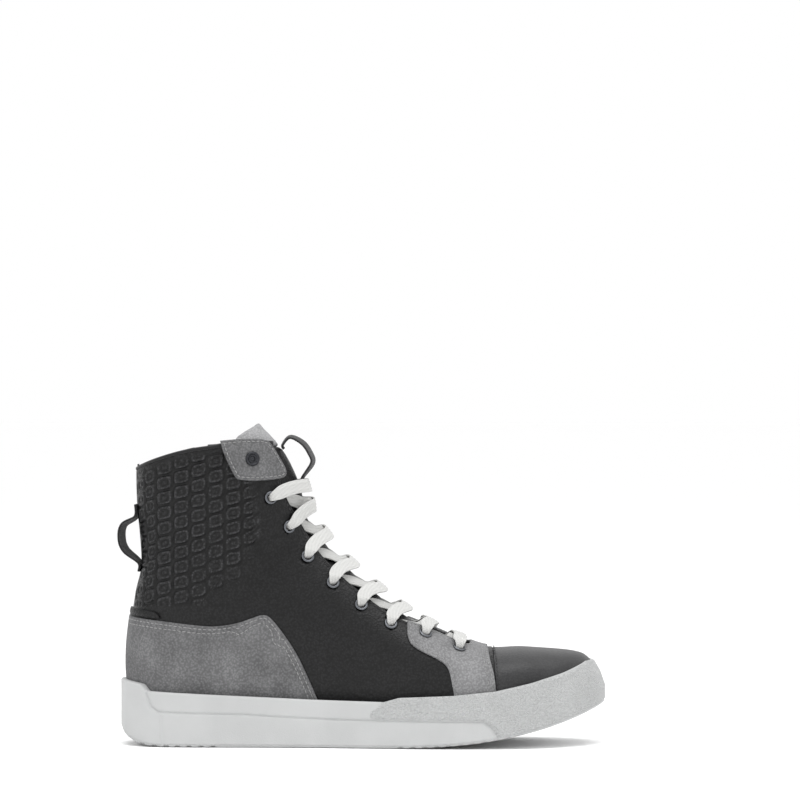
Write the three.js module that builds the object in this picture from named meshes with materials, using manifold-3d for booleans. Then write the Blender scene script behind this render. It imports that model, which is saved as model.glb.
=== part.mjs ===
// A right-foot riding boot: a leather lace-up high-top on a white rubber cup sole,
// with a side zip under a strap on the inner side. Millimetres, +X to the toe, +Z up,
// the outer (lateral) side faces -Y and the inner (medial) side faces +Y.
import * as THREE from "three";
import Module from "manifold-3d";
import { mergeVertices } from "three/addons/utils/BufferGeometryUtils.js";

const wasm = await Module();
wasm.setup();

// Driving sizes.
const SOLE_LENGTH = 300;
const SOLE_WIDTH = 108;
const BOOT_HEIGHT = 200;
const GAP = 0.3; // between pieces that touch
const LEATHER = 2; // thickness of the upper's leather
const OVERLAY = 1.4; // thickness of the reinforcing panels sewn on the outside
const LINING = 2; // thickness of the inner bootie
const STIFFENER = 1.6; // toe puff, heel stiffener, ankle cups and collar padding
const TONGUE = 3.4; // thickness of the padded tongue
const WALL = 4.6; // thickness of the sole's rim round the upper
const TREAD = 4; // thickness of the outsole under the cup
const MIDSOLE_RISE = 13; // height of the upper's floor above the ground
const BUMPER = 2; // thickness of the textured band round the toe
const FOOTBED = 5;
const SHANK_WIDTH = 18;
const EYELET_HOLE = 5;
const EYELET_FLANGE = 8;
const EYELET_RISE = 0.7;
const LACE_WIDTH = 8;
const LACE_THICKNESS = 1.5;
const LACE_SQUEEZE = 0.1; // how much the lace flattens between flap and tongue
const LACE_ROOM = LACE_THICKNESS - LACE_SQUEEZE; // extra depth for it there
const LACE_IN_HOLE = 2.6; // width of the lace where it squeezes through an eyelet
const THROAT_MARGIN = 15; // from the eyelet row back to the lining's front edge
const ZIP_SLOT = 9;
const ZIP_CHAIN = 5;
const ZIP_TAPE = 8;
const WELT = 5.5;
const SLIDER_LENGTH = 11;
const PULL_LENGTH = 17;
const STRAP = 2; // thickness of the inner strap
const STRAP_LIFT = 3.4; // how far the strap's free end stands off over the slider
const SNAP = 9; // diameter of the snap caps
const BINDING = 2.5; // height of the collar's binding above the leather
const LOOP_THICKNESS = 1.6;
const HEEL_LOOP_WIDTH = 20;
const TONGUE_LOOP_WIDTH = 14;

// Patterns below are drawn for a 300 by 108 by 200 boot and stretched to the driving sizes.
const scaleX = SOLE_LENGTH / 300;
const scaleY = SOLE_WIDTH / 108;
const scaleZ = BOOT_HEIGHT / 200;
const pattern = (points) => points.map(([x, z]) => [x * scaleX, z * scaleZ]);

// ---- Curves ----

// Catmull-Rom through evenly spaced values.
function spline(values, t) {
  const last = values.length - 1;
  const i = Math.min(Math.max(Math.floor(t), 0), last - 1);
  const f = t - i;
  const at = (k) => values[Math.min(Math.max(k, 0), last)];
  const [a, b, c, d] = [at(i - 1), at(i), at(i + 1), at(i + 2)];
  return b + 0.5 * f * (c - a + f * (2 * a - 5 * b + 4 * c - d + f * (3 * (b - c) + d - a)));
}

// Straight-line interpolation of z over x through pattern points.
function polyline(points, x) {
  let k = 0;
  while (k < points.length - 2 && x > points[k + 1][0]) k += 1;
  const [[x0, z0], [x1, z1]] = [points[k], points[k + 1]];
  return z0 + ((z1 - z0) * (x - x0)) / (x1 - x0);
}

// ---- The upper's outer surface ----

// Sections from the toe tip round the ankle to the collar and on to the tongue's top.
// Each runs from its foot (x, z) under the sole or up the heel to its ridge (x, z) along
// the instep, with a half width, a sideways shift and a squareness at foot and ridge.
const SECTIONS = [
  [142.5, 34, 142.5, 50, 12, 6, 2.2, 2.2],
  [136, 31, 136, 56.3, 25.5, 3.7, 2.4, 2.3],
  [122, 26, 122, 59.4, 36.5, 1.2, 2.8, 2.4],
  [96, 20, 99, 59.9, 45.5, -0.8, 3, 2.4],
  [66, 15.5, 76, 59.5, 48.4, -1.2, 3, 2.4],
  [34, 13.3, 50, 69.5, 45.5, -1.4, 3, 2.4],
  [2, 13, 25, 84.5, 40.5, -1.8, 3, 2.4],
  [-32, 13, 3, 102.5, 36, -2, 3, 2.4],
  [-68, 13, -14, 118.5, 34, -1.5, 3, 2.3],
  [-104, 13, -24, 131, 33.8, -0.5, 3, 2.2],
  [-134, 15.5, -31, 141, 34, 0, 2.8, 2.2],
  [-144.2, 34, -33, 150, 35, 0, 2.6, 2.2],
  [-145.6, 62, -34.5, 158, 35.5, 0, 2.5, 2.2],
  [-141.5, 92, -37.5, 167, 36, 0, 2.4, 2.2],
  [-137.6, 112, -41, 175, 36, 0, 2.3, 2.2],
  [-140, 145, -44.5, 183, 36.5, 0, 2.2, 2.2],
  [-140.7, 171, -48.5, 190, 37, 0, 2.2, 2.2],
  [-141, 190, -57, 204, 37, 0, 2.2, 2.2],
];
const COLLAR = SECTIONS.length - 1;
const column = (k) => SECTIONS.map((row) => row[k]);
const COLUMNS = [0, 1, 2, 3, 4, 5, 6, 7].map(column);

function section(t) {
  const [ax, az, bx, bz, width, shift, footN, ridgeN] = COLUMNS.map((c) => spline(c, t));
  return {
    foot: [ax * scaleX, az * scaleZ],
    ridge: [bx * scaleX, bz * scaleZ],
    width: width * scaleY,
    shift: shift * scaleY,
    footN,
    ridgeN,
  };
}

// phi is 0 at the foot, 180 degrees at the ridge, and positive on the outer side.
function skin(t, phi) {
  const s = section(t);
  const n = Math.cos(phi) > 0 ? s.footN : s.ridgeN;
  const power = (v) => Math.sign(v) * Math.abs(v) ** (2 / n);
  const along = (1 - power(Math.cos(phi))) / 2;
  return new THREE.Vector3(
    s.foot[0] + along * (s.ridge[0] - s.foot[0]),
    s.shift - s.width * power(Math.sin(phi)),
    s.foot[1] + along * (s.ridge[1] - s.foot[1]),
  );
}

function skinNormal(t, phi) {
  const step = 2e-3;
  const low = Math.max(t - 0.02, 0);
  const alongT = skin(low + 0.04, phi).sub(skin(low, phi));
  const alongPhi = skin(t, phi + step).sub(skin(t, phi - step));
  const normal = alongPhi.cross(alongT).normalize();
  const middle = skin(t, phi).sub(skin(t, 0).add(skin(t, Math.PI)).multiplyScalar(0.5));
  if (normal.dot(middle) < 0) normal.negate();
  // The skin closes forwards at the tip of the toe.
  const tip = Math.max(0, 1 - t / 0.5);
  return normal.add(new THREE.Vector3(tip, 0, 0)).normalize();
}

const offsetSkin = (t, phi, depth) => skin(t, phi).addScaledVector(skinNormal(t, phi), depth);

// Where the side-view point (x, z) lies on the skin, as t and phi.
function locate(x, z, outer) {
  const side = (t) => {
    const { foot, ridge } = section(t);
    return (ridge[0] - foot[0]) * (z - foot[1]) - (ridge[1] - foot[1]) * (x - foot[0]);
  };
  let [low, high] = [0, COLLAR];
  for (let k = 0; k < 40; k += 1) {
    const middle = (low + high) / 2;
    if (side(middle) > 0) low = middle;
    else high = middle;
  }
  const s = section(low);
  const reach = Math.hypot(s.ridge[0] - s.foot[0], s.ridge[1] - s.foot[1]);
  const along = Math.hypot(x - s.foot[0], z - s.foot[1]) / reach;
  const c = Math.min(Math.max(1 - 2 * along, -1), 1);
  const n = c > 0 ? s.footN : s.ridgeN;
  const phi = Math.acos(Math.sign(c) * Math.abs(c) ** (n / 2));
  return { t: low, phi: outer ? phi : -phi };
}

// ---- Solids ----

function toManifold(geometry) {
  const bare = geometry.clone();
  bare.deleteAttribute("normal");
  bare.deleteAttribute("uv");
  const merged = mergeVertices(bare, 1e-4);
  const vertProperties = new Float32Array(merged.attributes.position.array);
  const triVerts = new Uint32Array(merged.index.array);
  return new wasm.Manifold(new wasm.Mesh({ numProp: 3, vertProperties, triVerts }));
}

function toGeometry(manifold) {
  const { vertProperties, triVerts, numProp } = manifold.getMesh();
  const points = [];
  for (let k = 0; k < vertProperties.length; k += numProp) {
    points.push(vertProperties[k], vertProperties[k + 1], vertProperties[k + 2]);
  }
  const geometry = new THREE.BufferGeometry();
  geometry.setAttribute("position", new THREE.Float32BufferAttribute(points, 3));
  geometry.setIndex(Array.from(triVerts));
  geometry.computeVertexNormals();
  return geometry;
}

// Closed rings of points joined in order, with both ends capped about their middles.
function loft(rings) {
  const size = rings[0].length;
  const points = rings.flat();
  const faces = [];
  for (let i = 0; i < rings.length - 1; i += 1) {
    for (let j = 0; j < size; j += 1) {
      const k = (j + 1) % size;
      const [a, b, c, d] = [i * size + j, i * size + k, (i + 1) * size + k, (i + 1) * size + j];
      faces.push(a, b, c, a, c, d);
    }
  }
  for (const [ring, flip] of [[0, true], [rings.length - 1, false]]) {
    const middle = new THREE.Vector3();
    rings[ring].forEach((p) => middle.addScaledVector(p, 1 / size));
    points.push(middle);
    for (let j = 0; j < size; j += 1) {
      const [a, b] = [ring * size + j, ring * size + ((j + 1) % size)];
      faces.push(...(flip ? [points.length - 1, b, a] : [points.length - 1, a, b]));
    }
  }
  return solidFrom(points, faces);
}

function solidFrom(points, faces) {
  const geometry = new THREE.BufferGeometry();
  geometry.setAttribute("position", new THREE.Float32BufferAttribute(points.flatMap((p) => p.toArray()), 3));
  let volume = 0;
  for (let k = 0; k < faces.length; k += 3) {
    const [a, b, c] = [points[faces[k]], points[faces[k + 1]], points[faces[k + 2]]];
    volume += a.dot(b.clone().cross(c));
  }
  const order = volume < 0 ? faces.slice().reverse() : faces;
  geometry.setIndex(order);
  return toManifold(geometry);
}

const T_STEPS = 17;
const PHI_STEPS = 20;
const CROWDING = 0.15; // draws the steps together at the ridge and the heel
const phiAt = (turn) => turn - CROWDING * Math.sin(2 * turn);

function ringAt(t, depth) {
  const ring = [];
  for (let j = 0; j < PHI_STEPS; j += 1) {
    ring.push(offsetSkin(t, phiAt(((j + 0.5) / PHI_STEPS) * 2 * Math.PI), depth));
  }
  return ring;
}

// A point on the faceted layers themselves, between the corners of their rings.
function facetPoint(t, phi, depth) {
  const i = Math.min(Math.floor((t / COLLAR) * T_STEPS), T_STEPS - 1);
  let even = phi;
  for (let k = 0; k < 8; k += 1) even = phi + CROWDING * Math.sin(2 * even);
  const j = Math.floor((even / (2 * Math.PI)) * PHI_STEPS - 0.5);
  const angle = (b) => phiAt(((j + b + 0.5) / PHI_STEPS) * 2 * Math.PI);
  const corner = (a, b) => offsetSkin(((i + a) / T_STEPS) * COLLAR, angle(b), depth);
  const [u, v] = [(t / COLLAR) * T_STEPS - i, (phi - angle(0)) / (angle(1) - angle(0))];
  const near = corner(0, 0).lerp(corner(0, 1), v);
  return near.lerp(corner(1, 0).lerp(corner(1, 1), v), u);
}

// Everything inside the skin moved out by a depth, from the toe to the collar.
function filled(depth) {
  const rings = [];
  for (let i = 0; i <= T_STEPS; i += 1) rings.push(ringAt((i / T_STEPS) * COLLAR, depth));
  return loft(rings);
}

// The layer between two depths, open at the top.
function layer(outside, inside) {
  return filled(outside).subtract(filled(inside).add(aboveCollar(inside)));
}

// A short stretch past the last section, so that a layer is cut clean through.
function aboveCollar(depth) {
  const top = ringAt(COLLAR, depth);
  const lift = new THREE.Vector3(-6, 0, 24);
  return loft([top, top.map((p) => p.clone().add(lift))]);
}

// A side-view outline made solid across the boot, from one y to another.
function slab(points, fromY = -90, toY = 90) {
  const shape = new THREE.Shape(points.map(([x, z]) => new THREE.Vector2(x, z)));
  const geometry = new THREE.ExtrudeGeometry(shape, { depth: toY - fromY, bevelEnabled: false });
  geometry.rotateX(Math.PI / 2);
  geometry.translate(0, toY, 0);
  return toManifold(geometry);
}

const outerSlab = (points) => slab(points, -90, 0);
const innerSlab = (points) => slab(points, 0, 90);

// Moves an outline's points out from its middle line by a distance.
function grow(points, distance) {
  const turn = THREE.ShapeUtils.isClockWise(points.map(([x, z]) => new THREE.Vector2(x, z))) ? -1 : 1;
  return points.map((point, k) => {
    const before = points[(k + points.length - 1) % points.length];
    const after = points[(k + 1) % points.length];
    const normal = (a, b) => {
      const length = Math.hypot(b[0] - a[0], b[1] - a[1]);
      return [(turn * (b[1] - a[1])) / length, (-turn * (b[0] - a[0])) / length];
    };
    const [n, m] = [normal(before, point), normal(point, after)];
    const share = distance / (1 + n[0] * m[0] + n[1] * m[1]);
    return [point[0] + share * (n[0] + m[0]), point[1] + share * (n[1] + m[1])];
  });
}

// A place on the skin with its own axes: x forwards along the skin, y up it, z out of it.
function seat(x, z, outer, depth = 0) {
  const { t, phi } = locate(x, z, outer);
  const out = skinNormal(t, phi);
  const up = new THREE.Vector3(0, 0, 1).addScaledVector(out, -out.z).normalize();
  const along = up.clone().cross(out);
  const at = skin(t, phi).addScaledVector(out, depth);
  return new THREE.Matrix4().makeBasis(along, up, out).setPosition(at);
}

// A closed radius and height outline turned about the seat's outward axis.
function turned(profile, matrix, segments = 8) {
  const points = [...profile, profile[0]].map(([r, h]) => new THREE.Vector2(r, h));
  const geometry = new THREE.LatheGeometry(points, segments);
  geometry.rotateX(Math.PI / 2);
  geometry.applyMatrix4(matrix);
  return fixWinding(geometry);
}

function fixWinding(geometry) {
  const solid = toManifold(geometry);
  if (solid.volume() > 0) return solid;
  const index = Array.from(geometry.index.array).reverse();
  geometry.setIndex(index);
  return toManifold(geometry);
}

function plug(radius, low, high, matrix) {
  const geometry = new THREE.CylinderGeometry(radius, radius, high - low, 8);
  geometry.translate(0, (high + low) / 2, 0);
  geometry.rotateX(Math.PI / 2);
  geometry.applyMatrix4(matrix);
  return toManifold(geometry);
}

function block(width, height, depth, matrix) {
  const geometry = new THREE.BoxGeometry(width, height, depth);
  geometry.applyMatrix4(matrix);
  return toManifold(geometry);
}

// A flat band through places, each with a point, a width direction and a width.
function band(places, thickness) {
  const rings = places.map((place, k) => {
    const before = places[Math.max(k - 1, 0)].point;
    const after = places[Math.min(k + 1, places.length - 1)].point;
    const run = after.clone().sub(before).normalize();
    const across = place.across.clone().addScaledVector(run, -run.dot(place.across)).normalize();
    const rise = run.clone().cross(across).multiplyScalar(thickness / 2);
    const half = across.multiplyScalar(place.width / 2);
    return [[-1, -1], [1, -1], [1, 1], [-1, 1]].map(([u, v]) =>
      place.point.clone().addScaledVector(half, u).addScaledVector(rise, v));
  });
  return loft(rings);
}

// ---- The sole ----

// Half outlines of the sole at every 15 degrees of a turn from heel to toe.
const OUTER_HALF = [0, -21, -34, -38.5, -39.5, -41.5, -47, -53, -54.5, -49, -34.5, -14, 7];
const INNER_HALF = [0, 21, 34, 37.5, 36.5, 37, 43, 50.5, 52.5, 47.5, 39.5, 26, 7];
const SOLE_TOP = [
  [-150, 40.5], [-137, 38.2], [-133.6, 34.1], [-81, 31.6], [-32, 29.4], [12.3, 28.3], [21.6, 31],
  [54.5, 32.4], [81, 35.1], [104, 39.9], [124.4, 45.4], [142.9, 51.6], [147, 44.4], [150, 36],
];
const HEEL_RISE = 10.4;
const TOE_RISE = 26;
const SOLE_STEPS = 36;

function soleBottom(x) {
  const u = x / scaleX;
  if (u < -100) return HEEL_RISE * scaleZ * ((-100 - u) / 50) ** 6;
  if (u > 10) return TOE_RISE * scaleZ * ((u - 10) / 140) ** 2.4;
  return 0;
}

const soleTop = (x) => polyline(SOLE_TOP, x / scaleX) * scaleZ;

// The sole's outline pulled in by a distance, from lift above the bottom to a top height.
function soleBlock(inset, lift, top) {
  const rings = [];
  for (let i = 0; i <= SOLE_STEPS; i += 1) {
    const turn = Math.PI * (0.012 + (0.976 * i) / SOLE_STEPS);
    const outward = -Math.cos(turn);
    const x = (SOLE_LENGTH / 2 - inset) * outward;
    const knot = (turn / Math.PI) * 12;
    const shrink = inset * Math.sin(turn) ** 0.5;
    const outer = spline(OUTER_HALF, knot) * scaleY + shrink;
    const inner = spline(INNER_HALF, knot) * scaleY - shrink;
    const low = soleBottom(x) + lift;
    const high = Math.max(top(x), low + 0.6);
    const round = Math.min(2, (high - low) / 3);
    const bevel = Math.min(1.5, (inner - outer) / 6);
    const at = (y, z) => new THREE.Vector3(x, y, z);
    rings.push([
      at(outer + bevel, low), at(outer, low + round), at(outer, high),
      at(inner, high), at(inner, low + round), at(inner - bevel, low),
    ]);
  }
  return loft(rings);
}

// ---- Side-view outlines ----

const FAR = 400;
const EYELETS = pattern([
  [-56.7, 152.5], [-45.6, 134.5], [-34.1, 116.3], [-18.5, 100.4],
  [-1.1, 87.1], [17, 75.6], [37.7, 68.2], [58.5, 59.5],
]);

// The eyelet row moved sideways: positive towards the tongue.
function beside(distance) {
  return EYELETS.map((point, k) => {
    const before = EYELETS[Math.max(k - 1, 0)];
    const after = EYELETS[Math.min(k + 1, EYELETS.length - 1)];
    const length = Math.hypot(after[0] - before[0], after[1] - before[1]);
    const [dx, dz] = [(after[0] - before[0]) / length, (after[1] - before[1]) / length];
    return [point[0] - dz * distance, point[1] + dx * distance];
  });
}

const FLAP_EDGE = [...pattern([[-60, 200], [-55.5, 186]]), ...flapRow(), ...pattern([[69, 57.6]])];

function flapRow() {
  const reach = [8.5, 7.5, 6.8, 6.4, 5.8, 4.6, 3.2, 3.2];
  return EYELETS.map((point, k) => beside(reach[k])[k]);
}

const throat = [...FLAP_EDGE, ...pattern([[71, 61], [71, 90], [120, 90], [120, FAR], [-60, FAR]])];
const liningFront = [
  ...pattern([[-78, FAR], [-78, 186]]), ...beside(-THROAT_MARGIN).slice(0, 7), ...pattern([[62, 50], [78, 56]]),
  ...pattern([[80, 62], [80, 90], [120, 90], [120, FAR]]),
];
const collarLine = pattern([
  [-160, 166], [-142, 168.5], [-136, 171.5], [-122.4, 176.2], [-106, 180.4], [-91.7, 182], [-84, 184], [-50, 184],
]);
const belowCollar = (drop) => [
  ...collarLine.map(([x, z]) => [x, z - drop]),
  ...pattern([[200, 184], [200, -20], [-200, -20], [-200, 166]]),
];
const LAST_LINE = pattern([[-160, 22], [-100, 20], [40, 20], [80, 23], [110, 30], [140, 42], [160, 46]]);
const aboveLast = [...LAST_LINE, ...pattern([[160, FAR], [-160, FAR]])];

// The strip either side of the zip's centre line; sideways is positive forwards.
const ZIP_TOP = [-102.5, 182];
const ZIP_END = [-73, 51];
const SLIDER_AT = 0.07; // share of the zip's line where the closed slider sits
const [zipTop, zipEnd] = pattern([ZIP_TOP, ZIP_END]);
const zipLength = Math.hypot(zipEnd[0] - zipTop[0], zipEnd[1] - zipTop[1]);
const zipRun = [(zipEnd[0] - zipTop[0]) / zipLength, (zipEnd[1] - zipTop[1]) / zipLength];
const zipPoint = (along, sideways) => [
  zipTop[0] + zipRun[0] * along - zipRun[1] * sideways,
  zipTop[1] + zipRun[1] * along + zipRun[0] * sideways,
];
const zipStrip = (from, to, left, right) => [
  zipPoint(from, left), zipPoint(from, right), zipPoint(to, right), zipPoint(to, left),
];
const PAST = 30;
const zipSlot = zipStrip(-PAST, zipLength, -ZIP_SLOT / 2, ZIP_SLOT / 2);

// ---- Pieces ----

const boot = new THREE.Group();
const paint = (color, roughness, metalness = 0) => ({ color, roughness, metalness });
const DARK = paint(0x3a3a3a, 0.55);
const GREY = paint(0x838383, 0.75);
const RUBBER = paint(0xe8e8e6, 0.7);
const TEXTILE = paint(0x2d2d2d, 0.9);
const FOAM = paint(0x9a9a98, 0.9);
const METAL = paint(0x55585c, 0.35, 0.9);
const COTTON = paint(0xf0f0ee, 0.9);

function add(name, solid, look) {
  const mesh = new THREE.Mesh(toGeometry(solid), new THREE.MeshStandardMaterial(look));
  mesh.name = name;
  boot.add(mesh);
}

// Outer leather and the layers under it, each a gap inside the last.
const stiffenerTop = -LEATHER - GAP;
const stiffenerBottom = stiffenerTop - STIFFENER;
const liningTop = stiffenerBottom - GAP;
const liningBottom = liningTop - LINING;
const leather = layer(0, -LEATHER);
const middle = layer(stiffenerTop, stiffenerBottom);
const inner = layer(liningTop, liningBottom);
const overlay = layer(GAP + OVERLAY, GAP);

const upperZone = slab(belowCollar(0)).intersect(slab(aboveLast));
const throatCut = slab(throat);

// Eyelets and their holes. The two lowest pairs go through the throat overlay too.
const isLow = (k) => k > 5;
const LOW_RISE = OVERLAY + 3 * GAP;
const seats = [];
for (const outer of [true, false]) {
  EYELETS.forEach(([x, z], k) => {
    const rise = isLow(k) ? LOW_RISE : 0;
    seats.push({ name: `eyelet_${outer ? "outer" : "inner"}_${k + 1}`, matrix: seat(x, z, outer), rise });
  });
}
const eyeletBore = EYELET_HOLE / 2;
const barrel = eyeletBore + 0.3;
const holes = seats
  .map(({ matrix }) => plug(barrel + GAP, -LEATHER - 3, OVERLAY + 3, matrix))
  .reduce((all, hole) => all.add(hole));
for (const { name, matrix, rise } of seats) {
  const low = -LEATHER - GAP;
  const face = rise + GAP;
  const ring = [
    [eyeletBore, low], [barrel, low], [barrel, face], [EYELET_FLANGE / 2, face],
    [EYELET_FLANGE / 2, face + EYELET_RISE], [eyeletBore, face + EYELET_RISE],
  ];
  add(name, turned(ring, matrix), METAL);
}

// Leather panels. The toe cap meets the vamp at its seam, and the vamp meets the quarters
// under the throat overlay.
const CAP_SEAM = pattern([[79, FAR], [79.6, 62], [81.8, 20], [82, -20]]);
const VAMP_SEAM = pattern([[64, FAR], [64, 62], [67, 20], [67, -20]]);
const ahead = (seam, by) => [...seam.map(([x, z]) => [x + by, z]), ...pattern([[FAR, -20], [FAR, FAR]])];
const shell = leather.intersect(upperZone).subtract(throatCut);
add("toe_cap", shell.intersect(slab(ahead(CAP_SEAM, GAP / 2))), DARK);
add("vamp", shell.subtract(slab(ahead(CAP_SEAM, -GAP / 2))).intersect(slab(ahead(VAMP_SEAM, GAP / 2))), DARK);
const quarters = shell.subtract(slab(ahead(VAMP_SEAM, -GAP / 2))).subtract(holes);
const everywhere = pattern([[-FAR, -FAR], [FAR, -FAR], [FAR, FAR], [-FAR, FAR]]);
add("quarter_outer", quarters.intersect(slab(everywhere, -90, -GAP / 2)), DARK);
const innerQuarter = quarters.intersect(slab(everywhere, GAP / 2, 90)).subtract(slab(zipSlot));
const zipDivide = zipStrip(-PAST, zipLength + 200, 0, 200);
const belowZip = zipStrip(zipLength - 1, zipLength + 200, -GAP / 2, GAP / 2);
const divided = innerQuarter.subtract(slab(belowZip));
add("quarter_inner_front", divided.intersect(slab(zipDivide)), DARK);
add("quarter_inner_rear", divided.subtract(slab(zipDivide)), DARK);

// Overlays end a gap above the sole's rim.
const rimCut = soleBlock(-GAP, -5, (x) => soleTop(x) + GAP);
const heelOuter = pattern([
  [-160, 79.6], [-147, 79.6], [-123.2, 76.9], [-97.1, 73.8], [-88.4, 73.8], [-77, 75.6], [-67.5, 79.1],
  [-61.4, 81.1], [-57.1, 79.9], [-48.4, 69.1], [-39.7, 56], [-31, 36.9], [-27, 24], [-160, 24],
]);
const heelInner = pattern([
  [-160, 79.6], [-147, 79.6], [-138, 80.5], [-126, 74], [-117, 60], [-113, 45], [-112, 24], [-160, 24],
]);
const heelCounter = overlay.intersect(outerSlab(heelOuter).add(slab(heelInner, -1, 90)));
add("heel_counter", heelCounter.subtract(rimCut), GREY);
const throatOverlay = pattern([
  [26.7, 68.5], [26, 73], [32, 90], [74, 90], [76.6, 62], [76.8, 54], [80.1, 45], [81.2, 34.7], [81.5, 20],
  [56, 20], [55.7, 32.9], [54.2, 40.4], [52.5, 48.4], [48, 53], [30.7, 61], [27, 65],
]);
const throatPiece = overlay.intersect(slab(throatOverlay)).subtract(throatCut).subtract(holes);
add("throat_overlay", throatPiece.subtract(rimCut), GREY);
const backstay = pattern([[-160, 84.2], [-144, 84.2], [-128, 83.2], [-124.5, 79.6], [-124.5, 77.6], [-160, 80.5]]);
const counterCut = outerSlab(grow(heelOuter, GAP)).add(slab(grow(heelInner, GAP), -1, 90));
add("backstay", overlay.intersect(slab(backstay)).subtract(counterCut), DARK);
const tab = pattern([
  [-85.3, 183.5], [-62.7, 184.5], [-56.5, 182.5], [-53.5, 178], [-48.8, 168], [-49.5, 163.6],
  [-73, 162.5], [-79.1, 165.7],
]);
add("outer_tab", overlay.intersect(outerSlab(tab)).subtract(throatCut), GREY);
const snapProfile = (face) => [
  [1.6, face], [SNAP / 2, face], [SNAP / 2, face + 0.8], [SNAP / 2 - 1, face + 1.4], [1.6, face + 0.9],
];
add("outer_snap", turned(snapProfile(2 * GAP + OVERLAY), seat(-68.4 * scaleX, 176.4 * scaleZ, true), 10), METAL);

// Binding round the collar, parted over the zip.
const bindingBand = [
  ...collarLine.map(([x, z]) => [x, z + GAP]),
  ...collarLine.slice().reverse().map(([x, z]) => [x, z + GAP + BINDING]),
];
const rimRear = layer(GAP, liningBottom - GAP).subtract(slab(liningFront));
const rimLayers = rimRear.add(layer(GAP, -LEATHER - GAP));
const rim = rimLayers.intersect(slab(bindingBand)).subtract(slab(throat));
const rimOpen = rim.subtract(slab(zipSlot, 0, 90));
const rimFront = slab(zipStrip(-PAST, PAST, 0, 200), 0, 90);
add("collar_binding", rimOpen.subtract(rimFront), TEXTILE);
add("collar_binding_front", rimOpen.intersect(rimFront), TEXTILE);

// Lining, its zip gusset and what lies between lining and leather.
const liningZone = inner.intersect(slab(belowCollar(0))).subtract(slab(liningFront));
const GUSSET = 15;
const gussetStrip = zipStrip(-PAST, zipLength + 8, -GUSSET, GUSSET);
add("zip_gusset", liningZone.intersect(slab(gussetStrip, 5, 90)), TEXTILE);
add("lining", liningZone.subtract(slab(grow(gussetStrip, GAP), 5, 90)), TEXTILE);
const lastZone = slab(aboveLast);
add("toe_puff", middle.intersect(slab(ahead(pattern([[100, FAR], [100, -20]]), 0))).intersect(lastZone), FOAM);
const stiffOuter = pattern([[-160, 68], [-130, 66], [-90, 62], [-72, 45], [-68, 24], [-160, 24]]);
const stiffInner = pattern([[-160, 68], [-130, 66], [-105, 60], [-96, 45], [-94, 24], [-160, 24]]);
add("heel_stiffener", middle.intersect(outerSlab(stiffOuter).add(slab(stiffInner, -1, 90))), FOAM);
const disc = (x, z, radius) => {
  const points = [];
  for (let k = 0; k < 14; k += 1) {
    const turn = (k / 14) * 2 * Math.PI;
    points.push([x * scaleX + radius * Math.cos(turn), z * scaleZ + radius * Math.sin(turn)]);
  }
  return points;
};
add("ankle_cup_outer", middle.intersect(outerSlab(disc(-95, 98, 24))), FOAM);
add("ankle_cup_inner", middle.intersect(innerSlab(disc(-111, 98, 14))), FOAM);
const padding = [
  ...collarLine.map(([x, z]) => [x, z - GAP]),
  ...pattern([[-58, 160], [-70, 150], [-100, 144], [-160, 138]]),
];
const paddingInner = pattern([[-160, 130], [-117, 130], [-121, 200], [-160, 200]]);
const paddingBand = middle.intersect(slab(padding)).intersect(slab(belowCollar(GAP)));
const paddingZone = outerSlab(everywhere).add(slab(paddingInner, -1, 90));
add("collar_padding", paddingBand.intersect(paddingZone).subtract(slab(liningFront)), FOAM);

// Bottom stack: board under the lining, shank under the board, foam in the cup.
const lowZone = (rise) => pattern([
  [-160, 13 + rise], [-104, 13 + rise], [2, 13 + rise], [34, 13.3 + rise], [66, 15.5 + rise],
  [96, 20 + rise], [122, 26 + rise], [134, 30 + rise], [134, -20], [-160, -20],
]);
const boardTop = stiffenerBottom;
const board = layer(boardTop + 1.8, boardTop).intersect(slab(lowZone(4.4)));
add("insole_board", board, FOAM);
const shankLine = pattern([[-110, 10], [-110, 16], [-8, 16], [-8, 10]]);
const shankLayer = layer(-GAP, -1.6).intersect(slab(shankLine, -SHANK_WIDTH / 2, SHANK_WIDTH / 2));
add("shank", shankLayer, METAL);
const footbedTop = -liningBottom + GAP + FOOTBED;
add("footbed", filled(liningBottom - GAP).intersect(slab(lowZone(footbedTop))), FOAM);

// Rubber cup, its tread, the foam core and the band round the toe.
const body = filled(GAP);
const bumperLine = pattern([
  [3.9, 21.5], [12.4, 28.3], [16, 60], [200, 60], [200, -20], [84.5, -20], [83.5, 4.8], [78.9, 12.8],
  [73.2, 16.6], [4.5, 17.6],
]);
const rubber = soleBlock(0, TREAD + GAP, soleTop);
const bumperSkin = soleBlock(-2, TREAD - 4, (x) => soleTop(x) + 2).subtract(soleBlock(BUMPER, -2, (x) => soleTop(x) + 6));
const bumperHole = soleBlock(-2, TREAD - 4, (x) => soleTop(x) + 2)
  .subtract(soleBlock(BUMPER + GAP, -2, (x) => soleTop(x) + 6));
const coreTop = (x) => soleBottom(x) + MIDSOLE_RISE - 2;
const coreSpace = soleBlock(WALL + 3, TREAD - 4, coreTop);
const cup = rubber.subtract(body).subtract(coreSpace);
add("cup_sole", cup.subtract(bumperHole.intersect(slab(grow(bumperLine, GAP)))), RUBBER);
add("toe_bumper", rubber.intersect(bumperSkin).intersect(slab(bumperLine)).subtract(body), RUBBER);
const core = soleBlock(WALL + 3 + 2 * GAP, TREAD + GAP, (x) => coreTop(x) - GAP).subtract(body);
add("foam_core", core, FOAM);
add("outsole", soleBlock(0, 0, (x) => soleBottom(x) + TREAD), RUBBER);

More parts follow.
